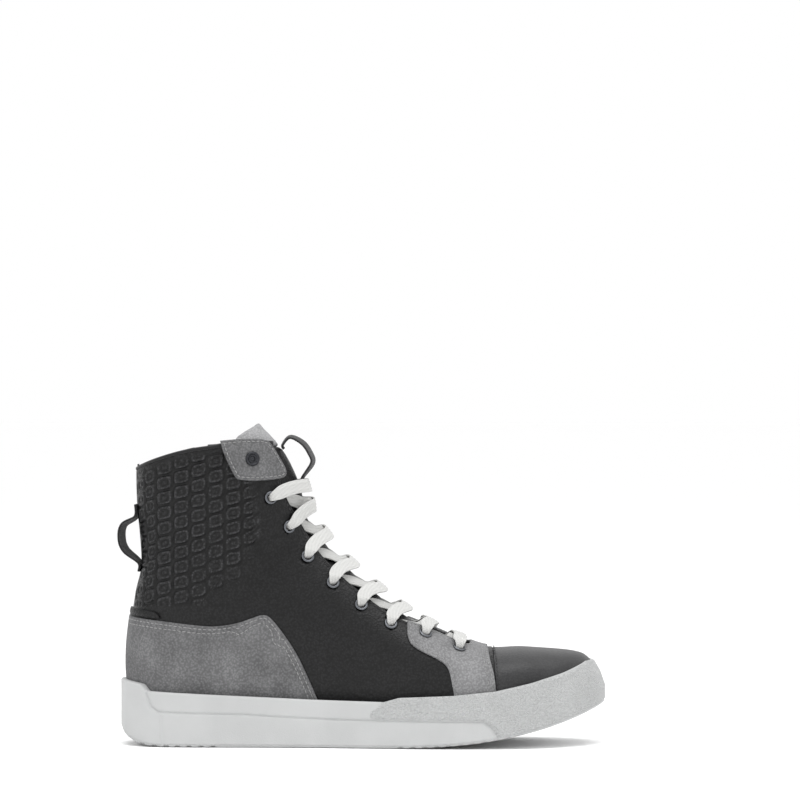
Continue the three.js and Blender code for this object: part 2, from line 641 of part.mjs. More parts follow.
// Tongue with its top patch.
const tongueTop = liningTop - GAP - LACE_ROOM;
const tongueShell = layer(tongueTop, tongueTop - TONGUE);
const tongueBack = THROAT_MARGIN - 1;
const tongueOutline = [
  ...pattern([[-76, 181.9]]), ...beside(-tongueBack).slice(0, 7), ...pattern([[64, 52], [76, 57]]),
  ...pattern([[76, 90], [120, 90], [120, 180], [-20, 180], [-52, 187]]),
];
add("tongue", tongueShell.intersect(slab(tongueOutline)), TEXTILE);
const tongueCrown = pattern([[-76, 182.2], [-52, 187.4], [-40, 186], [-50, 200], [-62.5, 198.4], [-77.5, 187.5]]);
add("tongue_top", tongueShell.intersect(slab(tongueCrown)), GREY);

// Webbing loops on the tongue and the heel.
function loop(points, width, thickness) {
  const curve = new THREE.CatmullRomCurve3(points.map(([x, z]) => new THREE.Vector3(x, 0, z)));
  const across = new THREE.Vector3(0, 1, 0);
  return band(curve.getPoints(points.length * 2).map((point) => ({ point, across, width })), thickness);
}
// Points on the middle line of the instep or the heel, held off the skin by a depth.
const onLine = (phi, t, depth) => {
  const point = offsetSkin(t, phi, depth);
  return [point.x, point.z];
};
const onTongue = (t) => onLine(Math.PI, t, tongueTop + GAP + LOOP_THICKNESS / 2);
const onHeel = (t) => onLine(0, t, 3 * GAP + LOOP_THICKNESS / 2);
const tongueLoop = [
  onTongue(16.3), onTongue(15.9), ...pattern([[-44.5, 189.2], [-37.7, 186], [-33, 179.5], [-31.6, 173.4]]),
  onTongue(12.95), onTongue(12.5),
];
add("tongue_loop", loop(tongueLoop, TONGUE_LOOP_WIDTH, LOOP_THICKNESS), TEXTILE);
const heelLoop = [
  onHeel(15.1), onHeel(14.85), ...pattern([[-148.6, 135], [-150, 127], [-147.4, 119.6]]), onHeel(14), onHeel(13.75),
];
add("heel_pull_loop", loop(heelLoop, HEEL_LOOP_WIDTH, LOOP_THICKNESS), TEXTILE);

// Zip: straight coil between two tapes, a slider with its pull, a stop and a leather welt.
const tapeLayer = layer(stiffenerTop, stiffenerTop - 0.9).intersect(slab(belowCollar(GAP)));
const tapeEdge = ZIP_CHAIN / 2 + GAP;
const tape = (from, to) => tapeLayer.intersect(innerSlab(zipStrip(2, zipLength + 5, from, to)));
add("zip_tape_rear", tape(-tapeEdge - ZIP_TAPE, -tapeEdge), TEXTILE);
add("zip_tape_front", tape(tapeEdge, tapeEdge + ZIP_TAPE), TEXTILE);
const zipSeat = (along, depth) => {
  const [x, z] = zipPoint(along, 0);
  return new THREE.Vector3().setFromMatrixPosition(seat(x, z, false, depth));
};
const CHAIN_DEPTH = -1.9;
const chainTop = zipSeat(5, CHAIN_DEPTH);
const chainEnd = zipSeat(zipLength - 4, CHAIN_DEPTH);
const chainRun = chainEnd.clone().sub(chainTop).normalize();
const chainLength = chainEnd.distanceTo(chainTop);
const chainOut = new THREE.Vector3().setFromMatrixColumn(seat(...zipPoint(zipLength / 2, 0), false), 2);
chainOut.addScaledVector(chainRun, -chainRun.dot(chainOut)).normalize();
const chainSide = chainRun.clone().cross(chainOut);
const onChain = (along, out) => {
  const at = chainTop.clone().addScaledVector(chainRun, along).addScaledVector(chainOut, out);
  return new THREE.Matrix4().makeBasis(chainSide, chainRun, chainOut).setPosition(at);
};
const COIL = 1.8;
add("zip_chain", block(ZIP_CHAIN, chainLength - 2.5, COIL, onChain(chainLength / 2 - 1.25, 0)), TEXTILE);
add("zip_bottom_stop", block(ZIP_CHAIN, 2, COIL, onChain(chainLength - 0.9, 0)), METAL);
const sliderAlong = SLIDER_LENGTH / 2 + SLIDER_AT * zipLength;
const sliderPlate = block(ZIP_SLOT - 1.2, SLIDER_LENGTH, 0.8, onChain(sliderAlong, COIL / 2 + GAP + 0.4));
const sliderLoop = block(2, 5, 0.8, onChain(sliderAlong, COIL / 2 + GAP + 1.1));
add("zip_slider", sliderPlate.add(sliderLoop), METAL);
const pullMatrix = onChain(sliderAlong + PULL_LENGTH / 2 - 1, COIL / 2 + 2 * GAP + 2);
add("zip_pull", block(4.5, PULL_LENGTH, 1, pullMatrix), METAL);
const weltEdge = ZIP_SLOT / 2;
const weltOutline = innerSlab(zipStrip(3, zipLength + WELT + 2, -weltEdge - WELT, weltEdge + WELT))
  .subtract(slab(zipStrip(-PAST, zipLength, -weltEdge, weltEdge)));
const weltLayer = layer(GAP + 1, GAP);
add("zip_welt", weltLayer.intersect(weltOutline).intersect(slab(belowCollar(0))), GREY);

// Strap over the zip: its front is sewn down, its free end folds open about the fold line.
const FOLD = -86;
const strapOutline = pattern([
  [-57.5, 163.5], [-66, 150.5], [-118.5, 147.5], [-124, 153], [-124, 170], [-121.5, 174.6], [-106, 178.4],
  [-91.7, 180.2], [-84, 182], [-58.5, 182],
]);
const strapFront = pattern([[FOLD, -FAR], [FAR, -FAR], [FAR, FAR], [FOLD, FAR]]);
const strapRear = pattern([[FOLD - GAP, -FAR], [-FAR, -FAR], [-FAR, FAR], [FOLD - GAP, FAR]]);
const clearOfWelt = innerSlab(zipStrip(-PAST, PAST * 2, -200, weltEdge + WELT + GAP));
const strapBase = layer(GAP + STRAP, GAP).intersect(innerSlab(strapOutline)).intersect(slab(strapFront));
add("strap_front", strapBase.subtract(clearOfWelt).subtract(throatCut), GREY);
const flap = layer(STRAP_LIFT + STRAP, STRAP_LIFT).intersect(innerSlab(strapOutline)).intersect(slab(strapRear));
add("strap_flap", flap, GREY);
const patchOutline = innerSlab(pattern([[-121, 152], [-113, 151], [-113.5, 172], [-121, 170]]));
add("loop_patch", layer(GAP + 1.1, GAP).intersect(patchOutline), TEXTILE);
add("hook_patch", layer(STRAP_LIFT - GAP, 2 * GAP + 1.1).intersect(patchOutline), TEXTILE);
add("strap_snap", turned(snapProfile(2 * GAP + STRAP), seat(-69 * scaleX, 166 * scaleZ, false), 10), METAL);

// ---- Lace ----

// One flat lace, crossed eight times: it comes out of an eyelet, over the tongue, under the
// other edge to the next eyelet up, and the last stretch joins the top pair.
const laceClear = LACE_THICKNESS / 2 + GAP;
const under = -LEATHER - laceClear - 1.5 * GAP;
const TOP_SAG = -1.1; // how far down the sections a crossing at the top lies below its eyelets
const LOW_SAG = -0.3;
const place = (from, to, sag, share, depth, width) => {
  const t = from.t + (to.t - from.t) * share + sag * Math.sin(Math.PI * share) ** 2;
  const phi = from.phi + (to.phi - from.phi) * share;
  const out = skinNormal(t, phi);
  const run = skin(to.t, to.phi).sub(skin(from.t, from.phi)).normalize();
  const point = depth < 0 ? facetPoint(t, phi, depth) : offsetSkin(t, phi, depth);
  return { point, across: out.clone().cross(run), width };
};
function stretch(low, high, outer, crest, sag) {
  const from = locate(...EYELETS[low], outer);
  const over = locate(...EYELETS[high], !outer);
  const to = { t: over.t, phi: over.phi + (outer ? 2 : -2) * Math.PI };
  const face = (isLow(low) ? LOW_RISE : 0) + GAP + EYELET_RISE;
  const top = face + laceClear;
  const narrow = LACE_WIDTH * 0.8;
  const start = [
    [0, under - 0.2, LACE_IN_HOLE], [0, face - 0.8, LACE_IN_HOLE], [0.03, top + 0.8, LACE_IN_HOLE],
    [0.09, top + 0.3, narrow], [0.18, top, LACE_WIDTH], [0.34, (crest + top) / 2, LACE_WIDTH],
  ];
  const middle = [[0.43, crest, LACE_WIDTH], [0.5, crest, LACE_WIDTH]];
  const end = low === high
    ? start.slice().reverse().map(([share, depth, width]) => [1 - share, depth, width])
    : [[0.55, crest / 3, LACE_WIDTH], [0.6, under + 0.6, LACE_WIDTH], [0.68, under, LACE_WIDTH],
      [0.85, under, narrow], [1, under, LACE_IN_HOLE]];
  const rows = [...start, ...middle, ...end];
  return band(rows.map(([share, depth, width]) => place(from, to, sag, share, depth, width)), LACE_THICKNESS);
}
let lace = stretch(0, 0, true, 1.8, TOP_SAG / 2);
for (let k = EYELETS.length - 1; k > 0; k -= 1) {
  const sag = TOP_SAG + ((LOW_SAG - TOP_SAG) * (k - 1)) / (EYELETS.length - 2);
  lace = lace.add(stretch(k, k - 1, true, 3.8, sag)).add(stretch(k, k - 1, false, 1.6, sag));
}
add("lace", lace, COTTON);

// The origin lies on the ground under the middle of the whole boot.
const bounds = new THREE.Box3().setFromObject(boot);
const centre = bounds.getCenter(new THREE.Vector3());
boot.position.set(-centre.x, -centre.y, -bounds.min.z);

export default boot;
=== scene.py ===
import math

import bpy
import numpy as np
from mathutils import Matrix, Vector, kdtree
from mathutils.geometry import delaunay_2d_cdt


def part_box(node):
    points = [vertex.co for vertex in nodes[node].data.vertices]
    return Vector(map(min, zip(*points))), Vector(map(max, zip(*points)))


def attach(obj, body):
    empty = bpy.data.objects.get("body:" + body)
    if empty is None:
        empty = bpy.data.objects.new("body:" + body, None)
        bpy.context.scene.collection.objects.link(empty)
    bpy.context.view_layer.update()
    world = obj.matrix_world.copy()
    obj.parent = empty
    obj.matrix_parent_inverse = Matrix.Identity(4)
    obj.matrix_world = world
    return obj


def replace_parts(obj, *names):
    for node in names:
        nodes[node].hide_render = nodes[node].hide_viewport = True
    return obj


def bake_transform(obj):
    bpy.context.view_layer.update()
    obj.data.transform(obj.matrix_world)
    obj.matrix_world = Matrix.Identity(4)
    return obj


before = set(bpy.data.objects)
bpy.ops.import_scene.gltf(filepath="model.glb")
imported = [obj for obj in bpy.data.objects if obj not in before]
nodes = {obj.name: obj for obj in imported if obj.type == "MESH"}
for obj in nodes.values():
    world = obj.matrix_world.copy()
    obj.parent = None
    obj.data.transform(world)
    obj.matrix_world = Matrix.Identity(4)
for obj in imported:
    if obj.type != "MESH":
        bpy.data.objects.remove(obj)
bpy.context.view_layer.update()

scene = bpy.context.scene

# ---- Studio ----
# A pale floor under soft, even light, with a long lens level with the top of the boot.
# The floor is wide enough that its far edge lies at the horizon.


def linear(hex_colour):
    """An sRGB hex colour as the linear red, green, blue and alpha that shaders take."""
    parts = [int(hex_colour[i:i + 2], 16) / 255 for i in (1, 3, 5)]
    return [c / 12.92 if c <= 0.04045 else ((c + 0.055) / 1.055) ** 2.4 for c in parts] + [1.0]


def new_material(name, colour, roughness, specular=0.25):
    material = bpy.data.materials.new(name)
    material.use_nodes = True
    shader = material.node_tree.nodes["Principled BSDF"]
    shader.inputs["Base Color"].default_value = linear(colour)
    shader.inputs["Roughness"].default_value = roughness
    shader.inputs["Specular IOR Level"].default_value = specular
    return material, shader


def add_node(material, kind, links=(), **settings):
    """A shader node of a kind, with sockets and properties set by name and (output, input) links into it."""
    made = material.node_tree.nodes.new("ShaderNode" + kind)
    for key, value in settings.items():
        socket = made.inputs.get(key.replace("_", " "))
        if socket is not None and not hasattr(made, key):
            socket.default_value = value
        else:
            setattr(made, key, value)
    for source, target in links:
        material.node_tree.links.new(source, made.inputs[target])
    return made


def plug(material, shader, **outputs):
    """Links outputs to the shader's sockets, named with _ for a space."""
    for socket, output in outputs.items():
        material.node_tree.links.new(output, shader.inputs[socket.replace("_", " ")])


floor_mesh = bpy.data.meshes.new("studio_floor")
floor_mesh.from_pydata([(-40, -40, 0), (40, -40, 0), (40, 40, 0), (-40, 40, 0)], [], [(0, 1, 2, 3)])
floor = bpy.data.objects.new("studio_floor", floor_mesh)
scene.collection.objects.link(floor)
floor_paint, _ = new_material("matt white floor", "#ffffff", 0.95)
floor.data.materials.append(floor_paint)
floor.location.z = -0.0002

scene.view_settings.view_transform = "Standard"
world = bpy.data.worlds.new("studio")
world.use_nodes = True
world.node_tree.nodes["Background"].inputs["Color"].default_value = (1, 1, 1, 1)
world.node_tree.nodes["Background"].inputs["Strength"].default_value = 1.0
scene.world = world


def softbox(name, place, aim, size, power):
    light = bpy.data.lights.new(name, "AREA")
    light.shape = "RECTANGLE"
    light.size = size[0]
    light.size_y = size[1]
    light.energy = power
    lamp = bpy.data.objects.new(name, light)
    lamp.location = place
    lamp.rotation_euler = (Vector(aim) - Vector(place)).to_track_quat("-Z", "Y").to_euler()
    scene.collection.objects.link(lamp)


softbox("overhead_softbox", (0.1, -0.25, 1.5), (0, 0, 0.1), (1.4, 0.9), 15)
softbox("front_left_softbox", (-1.2, -1.5, 0.9), (0, 0, 0.1), (0.8, 0.9), 7)
softbox("right_softbox", (1.6, -0.5, 0.8), (0, 0, 0.08), (0.6, 0.9), 3)

LENS = 200
FRAME_WIDTH = 0.496  # width of the view at the boot, in metres
camera_data = bpy.data.cameras.new("camera")
camera_data.lens = LENS
camera_data.sensor_width = 36
camera = bpy.data.objects.new("camera", camera_data)
camera.location = (0.0231, -FRAME_WIDTH * LENS / 36, 0.2125)
camera.rotation_euler = (math.radians(90), 0, 0)
scene.collection.objects.link(camera)
scene.camera = camera

# ---- Charcoal leather quarters, vamp and toe cap ----
# The upper is one skin drawn over the last: panels of 2 mm leather cut to side-view
# patterns, wrapped on it and closed at the edges. Millimetres until a mesh is made.

# Each row is the foot (x, z), the ridge (x, z), half width, sideways shift and the
# squareness at foot and ridge of one section, from the toe tip to above the collar.
SECTIONS = np.array([
    [142.5, 34, 142.5, 50, 12, 6, 2.2, 2.2],
    [136, 31, 136, 56.3, 25.5, 3.7, 2.4, 2.3],
    [122, 26, 122, 59.4, 36.5, 1.2, 2.8, 2.4],
    [96, 20, 99, 59.9, 45.5, -0.8, 3, 2.4],
    [66, 15.5, 76, 59.5, 48.4, -1.2, 3, 2.4],
    [34, 13.3, 50, 69.5, 45.5, -1.4, 3, 2.4],
    [2, 13, 25, 84.5, 40.5, -1.8, 3, 2.4],
    [-32, 13, 3, 102.5, 36, -2, 3, 2.4],
    [-68, 13, -14, 118.5, 34, -1.5, 3, 2.3],
    [-104, 13, -24, 131, 33.8, -0.5, 3, 2.2],
    [-134, 15.5, -31, 141, 34, 0, 2.8, 2.2],
    [-144.2, 34, -33, 150, 35, 0, 2.6, 2.2],
    [-145.6, 62, -34.5, 158, 35.5, 0, 2.5, 2.2],
    [-141.5, 92, -37.5, 167, 36, 0, 2.4, 2.2],
    [-137.6, 112, -41, 175, 36, 0, 2.3, 2.2],
    [-140, 145, -44.5, 183, 36.5, 0, 2.2, 2.2],
    [-140.7, 171, -48.5, 190, 37, 0, 2.2, 2.2],
    [-141, 190, -57, 204, 37, 0, 2.2, 2.2],
])
TOP_SECTION = len(SECTIONS) - 1

# The pattern's middle in the frame, from the sole's length and the topmost eyelets.
MM = 0.001
heel_end, toe_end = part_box("outsole")
top_eyelets = [*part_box("eyelet_outer_1"), *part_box("eyelet_inner_1")]
ORIGIN = np.array([(heel_end.x + toe_end.x) / 2, sum(c.y for c in top_eyelets) / 4, 0.0])


def spline(rows, t):
    """Catmull-Rom through evenly spaced rows at an array of t."""
    last = len(rows) - 1
    i = np.clip(np.floor(t).astype(int), 0, last - 1)
    f = (t - i).reshape(-1, *[1] * (rows.ndim - 1))
    a, b, c, d = (rows[np.clip(i + k, 0, last)] for k in (-1, 0, 1, 2))
    return b + 0.5 * f * (c - a + f * (2 * a - 5 * b + 4 * c - d + f * (3 * (b - c) + d - a)))


def bare_skin(t, phi):
    """Points of the bare skin at section t and angle phi: 0 at the foot end, pi at the ridge."""
    ax, az, bx, bz, width, shift, foot_n, ridge_n = spline(SECTIONS, t).T
    n = np.where(np.cos(phi) > 0, foot_n, ridge_n)
    along = (1 - np.sign(np.cos(phi)) * np.abs(np.cos(phi)) ** (2 / n)) / 2
    across = np.sign(np.sin(phi)) * np.abs(np.sin(phi)) ** (2 / n)
    return np.stack([ax + along * (bx - ax), shift - width * across, az + along * (bz - az)], 1)


def skin_normal(t, phi):
    """The outward direction of the skin, leaning forwards over the toe's tip."""
    low = np.maximum(t - 0.02, 0)
    along_t = bare_skin(low + 0.04, phi) - bare_skin(low, phi)
    along_phi = bare_skin(t, phi + 2e-3) - bare_skin(t, phi - 2e-3)
    normal = np.cross(along_phi, along_t)
    normal /= np.linalg.norm(normal, axis=1, keepdims=True)
    middle = (bare_skin(t, 0 * phi) + bare_skin(t, 0 * phi + math.pi)) / 2
    outward = np.sign(np.sum(normal * (bare_skin(t, phi) - middle), axis=1, keepdims=True))
    normal *= np.where(outward == 0, 1, outward)
    normal[:, 0] += np.maximum(0, 1 - t / 0.5)
    return normal / np.linalg.norm(normal, axis=1, keepdims=True)


def slack(point):
    """The hand of real leather: low, soft waves, strongest where the ankle bends."""
    x, y, z = point.T
    side = np.where(y < 0, 0.0, 2.1)
    ankle = np.exp(-(((x + 45) / 45) ** 2) - ((z - 95) / 38) ** 2)
    broad = np.sin(x / 17 + z / 23 + side) * np.cos(z / 15 - x / 29 + 1.3 * side)
    folds = np.sin((x * 0.75 + z * 0.62) / 6.5 + side + 0.6 * np.sin(z / 14))
    return 0.28 * broad + 0.42 * ankle * folds


def skin(t, phi, depth=0.0):
    """Points a depth off the skin, in millimetres."""
    t, phi = np.atleast_1d(np.asarray(t, float)), np.atleast_1d(np.asarray(phi, float))
    t, phi = np.broadcast_arrays(t, phi)
    point = bare_skin(t, phi)
    height = np.asarray(depth, float) + slack(point)
    return point + skin_normal(t, phi) * np.reshape(height, (-1, 1))


def locate(points, outer=True, over=False):
    """Side-view points as (t, phi) on the skin. Over counts the inner side on past the ridge."""
    x, z = np.asarray(points, float).T
    low, high = np.zeros(len(x)), np.full(len(x), float(TOP_SECTION))
    for _ in range(40):
        middle = (low + high) / 2
        ax, az, bx, bz = spline(SECTIONS, middle).T[:4]
        ahead = (bx - ax) * (z - az) - (bz - az) * (x - ax) > 0
        low, high = np.where(ahead, middle, low), np.where(ahead, high, middle)
    ax, az, bx, bz, _, _, foot_n, ridge_n = spline(SECTIONS, low).T
    reach = (bx - ax) ** 2 + (bz - az) ** 2
    c = np.clip(1 - 2 * ((x - ax) * (bx - ax) + (z - az) * (bz - az)) / reach, -1, 1)
    n = np.where(c > 0, foot_n, ridge_n)
    phi = np.arccos(np.sign(c) * np.abs(c) ** (n / 2))
    if not outer:
        phi = 2 * math.pi - phi if over else -phi
    return np.stack([low, phi], 1)


def densify(points, step=1.6):
    """More points along a polyline, a step or less apart."""
    points = np.asarray(points, float)
    out = [points[:1]]
    for a, b in zip(points[:-1], points[1:]):
        count = max(1, int(np.ceil(np.linalg.norm(b - a) / step)))
        out.append(a + (b - a) * np.linspace(0, 1, count + 1)[1:, None])
    return np.concatenate(out)


def rounded(points, turns=2):
    """A polyline with its corners cut twice, its ends kept."""
    points = np.asarray(points, float)
    for _ in range(turns):
        cut = [points[:1]]
        for a, b in zip(points[:-1], points[1:]):
            cut.append(np.array([a * 0.75 + b * 0.25, a * 0.25 + b * 0.75]))
        points = np.concatenate([*cut, points[-1:]])
    return points


def trace(points, outer=True, over=False, smooth=True):
    """A run of a pattern's edge on the skin, from its corners in the side view."""
    points = rounded(points) if smooth and len(points) > 2 else points
    return locate(densify(points), outer, over)


def both_sides(points, smooth=True):
    """A run up the outer side to the ridge, and on down the inner side."""
    up = trace(points, True, smooth=smooth)
    down = trace(points[::-1], False, over=True, smooth=smooth)
    return np.concatenate([up, down])


def inward(loop, distance):
    """Each point of a closed (t, phi) loop moved in along the skin by a distance."""
    t, phi = loop.T
    d_t = (bare_skin(np.minimum(t + 0.01, TOP_SECTION), phi) - bare_skin(np.maximum(t - 0.01, 0), phi)) / 0.02
    d_phi = (bare_skin(t, phi + 2e-3) - bare_skin(t, phi - 2e-3)) / 4e-3
    place = bare_skin(t, phi)
    run = np.roll(place, -1, 0) - np.roll(place, 1, 0)
    run /= np.maximum(np.linalg.norm(run, axis=1, keepdims=True), 1e-9)
    side = np.cross(skin_normal(t, phi), run) * winding(loop)
    g = [[np.sum(a * b, axis=1) for b in (d_t, d_phi)] for a in (d_t, d_phi)]
    r = [np.sum(side * d_t, axis=1), np.sum(side * d_phi, axis=1)]
    det = np.maximum(g[0][0] * g[1][1] - g[0][1] * g[1][0], 1e-6)
    move = np.stack([r[0] * g[1][1] - r[1] * g[0][1], g[0][0] * r[1] - g[1][0] * r[0]], 1) / det[:, None]
    return loop + move * distance


def winding(loop):
    """1 or -1, so that the skin's normal crossed with the run points into the loop."""
    t, phi = loop.T
    area = np.sum(t * np.roll(phi, -1) - np.roll(t, -1) * phi)
    middle = loop.mean(0)
    d_t = bare_skin(middle[:1] + 0.01, middle[1:]) - bare_skin(middle[:1], middle[1:])
    d_phi = bare_skin(middle[:1], middle[1:] + 0.01) - bare_skin(middle[:1], middle[1:])
    turn = np.sign(np.sum(np.cross(d_t, d_phi) * skin_normal(middle[:1], middle[1:])))
    return np.sign(area) * turn


def make_object(name, points, faces, material):
    """A mesh piece at the origin from points in the pattern's millimetres."""
    mesh = bpy.data.meshes.new(name)
    place = np.asarray(points, float) * MM + ORIGIN
    mesh.from_pydata([tuple(p) for p in place], [], [tuple(int(i) for i in f) for f in faces])
    mesh.validate()
    mesh.update()
    mesh.shade_smooth()
    mesh.materials.append(material)
    made = bpy.data.objects.new(name, mesh)
    scene.collection.objects.link(made)
    return made


SCALE = np.array([26.0, 36.0])  # millimetres to a step of t and to a radian of phi
SEAM_DEEP, SEAM_WIDE = 0.28, 0.55  # the groove that a row of stitches pulls into the leather


def inside(points, loop):
    """Which (t, phi) points lie in a closed loop."""
    x, y = points.T
    hit = np.zeros(len(points), bool)
    for (x0, y0), (x1, y1) in zip(loop, np.roll(loop, -1, 0)):
        if y0 == y1:
            continue
        crosses = (y0 > y) != (y1 > y)
        hit ^= crosses & (x < (x1 - x0) * (y - y0) / (y1 - y0) + x0)
    return hit


def distance_to(points, lines):
    """The distance of each 3-D point to the nearest point of some lines."""
    tree = kdtree.KDTree(len(lines))
    for k, p in enumerate(lines):
        tree.insert(p, k)
    tree.balance()
    return np.array([tree.find(p)[2] for p in points])


def channel_points(line, width):
    """Points either side of a stitch line, so that the mesh can dip along it."""
    step = np.roll(line, -1, 0) - line
    step[-1] = step[-2]
    across = np.stack([-step[:, 1] * SCALE[1], step[:, 0] * SCALE[0]], 1)
    across /= np.maximum(np.linalg.norm(across, axis=1, keepdims=True), 1e-9)
    across /= SCALE
    return np.concatenate([line + across * width * k for k in (-2, -1, 0, 1, 2)])


def panel(name, runs, material, bottom, top, edge=0.8, grid=3.0, holes=(), relief=None, lift=None, fine=()):
    """A panel wrapped on the skin, with its faces at the depths bottom and top.

    Runs are (t, phi) stretches of its edge in order, each with the distances in from the edge
    at which it is stitched. Fine lists (low, high, pitch) areas of closer mesh. Relief and lift
    raise the face and the whole panel. Returns the piece and its stitch lines.
    """
    loop = np.concatenate([run for run, _ in runs])
    keep = np.linalg.norm((loop - np.roll(loop, 1, 0)) * SCALE, axis=1) > 0.15
    stitched = np.concatenate([np.full(len(run), k) for k, (run, _) in enumerate(runs)])[keep]
    loop = loop[keep]
    lines = []
    for k, (_, rows) in enumerate(runs):
        for row in rows:
            inset = inward(loop, row)[stitched == k][2:-2]
            clear = distance_to(bare_skin(*inset.T), bare_skin(*loop.T))
            lines.append(inset[clear > 0.9 * row])
    rings = [inward(loop, edge * share) for share in (0.12, 0.4, 1.0)]
    low, high = loop.min(0), loop.max(0)
    spots = []
    for a, b, pitch in [(low, high, grid), *fine]:
        u = np.arange(a[0], b[0], pitch / SCALE[0])
        v = np.arange(a[1], b[1], pitch / SCALE[1])
        mesh_u, mesh_v = np.meshgrid(u, v)
        mesh_u[1::2] += pitch / SCALE[0] / 2
        spots.append(np.stack([mesh_u.ravel(), mesh_v.ravel()], 1))
    grown = np.concatenate([channel_points(line, 0.45) for line in lines]) if lines else np.zeros((0, 2))
    hole_loops = []
    turn = np.linspace(0, 2 * math.pi, 16, endpoint=False)
    for centre, radius in holes:
        metric = np.linalg.norm(skin_steps(centre), axis=1)
        hole_loops.append(centre + np.stack([np.cos(turn), np.sin(turn)], 1) * radius / metric)
    spots = np.concatenate([*spots, grown])
    spots = spots[inside(spots, loop)]
    border = bare_skin(*densify(np.concatenate([loop, loop[:1]]), 0.02).T)
    spots = spots[distance_to(bare_skin(*spots.T), border) > edge * 1.25]
    for ring in hole_loops:
        spots = spots[~inside(spots, ring + (ring - ring.mean(0)) * 0.25)]
    rings = [ring[inside(ring, loop)] for ring in rings]
    points = np.concatenate([loop, *hole_loops, *rings, spots])
    edges = [(i, (i + 1) % len(loop)) for i in range(len(loop))]
    start = len(loop)
    for ring in hole_loops:
        edges += [(start + i, start + (i + 1) % len(ring)) for i in range(len(ring))]
        start += len(ring)
    flat = [Vector(p) for p in points * SCALE]
    made_points, _, made_faces, *_ = delaunay_2d_cdt(flat, edges, [], 1, 1e-5)
    points = np.array([tuple(p) for p in made_points]) / SCALE
    faces = np.array([f for f in made_faces if len(f) == 3])
    middle = points[faces].mean(1)
    kept = inside(middle, loop)
    for ring in hole_loops:
        kept &= ~inside(middle, ring)
    faces = faces[kept]
    place = bare_skin(*points.T)
    away = distance_to(place, border)
    fall = np.clip(1 - away / edge, 0, 1)
    thickness = top - bottom
    height = top - min(edge, thickness) * (1 - np.sqrt(np.maximum(1 - fall ** 2, 0)))
    if lines:
        near = distance_to(place, bare_skin(*np.concatenate([densify(line, 0.02) for line in lines]).T))
        height -= SEAM_DEEP * np.exp(-((near / SEAM_WIDE) ** 2))
    pressed = np.zeros(len(points)) if relief is None else relief(points, place, away)
    height = height + pressed
    raised = 0 if lift is None else lift(place)
    height, floor_height = height + raised, bottom + raised
    upper = skin(*points.T, height)
    lower = skin(*points.T, floor_height)
    count = len(points)
    a, b, c = (upper[faces[:, k]] for k in range(3))
    out = np.sum(np.cross(b - a, c - a) * skin_normal(*points[faces[:, 0]].T), axis=1) < 0
    faces[out] = faces[out][:, ::-1]
    sides = {}
    for f in faces:
        for i, j in ((f[0], f[1]), (f[1], f[2]), (f[2], f[0])):
            sides[(i, j)] = 1
    rim = [(i, j) for i, j in sides if (j, i) not in sides]
    walls = [(j, i, i + count, j + count) for i, j in rim]
    all_faces = [*faces.tolist(), *(faces[:, ::-1] + count).tolist(), *walls]
    made = make_object(name, np.concatenate([upper, lower]), all_faces, material)
    # The relief is kept on the mesh for the embossed leather, which paints shade in its hollows and highlight on its
    # raised faces.
    tone = made.data.attributes.new("relief", "FLOAT", "POINT")
    tone.data.foreach_set("value", np.concatenate([pressed, pressed]).astype(np.float32))
    return made, lines


def skin_steps(spot):
    """How far a unit of t and of phi go on the skin at a spot, as two 3-D steps."""
    t, phi = np.array([spot[0]]), np.array([spot[1]])
    return np.concatenate([
        (bare_skin(t + 0.01, phi) - bare_skin(t, phi)) / 0.01,
        (bare_skin(t, phi + 0.01) - bare_skin(t, phi)) / 0.01,
    ])


# PLAIN is the level of flat leather in the embossing's painted shade and highlight.
PLAIN = 0.2  # where leather that is not embossed lies between the darkest and the palest


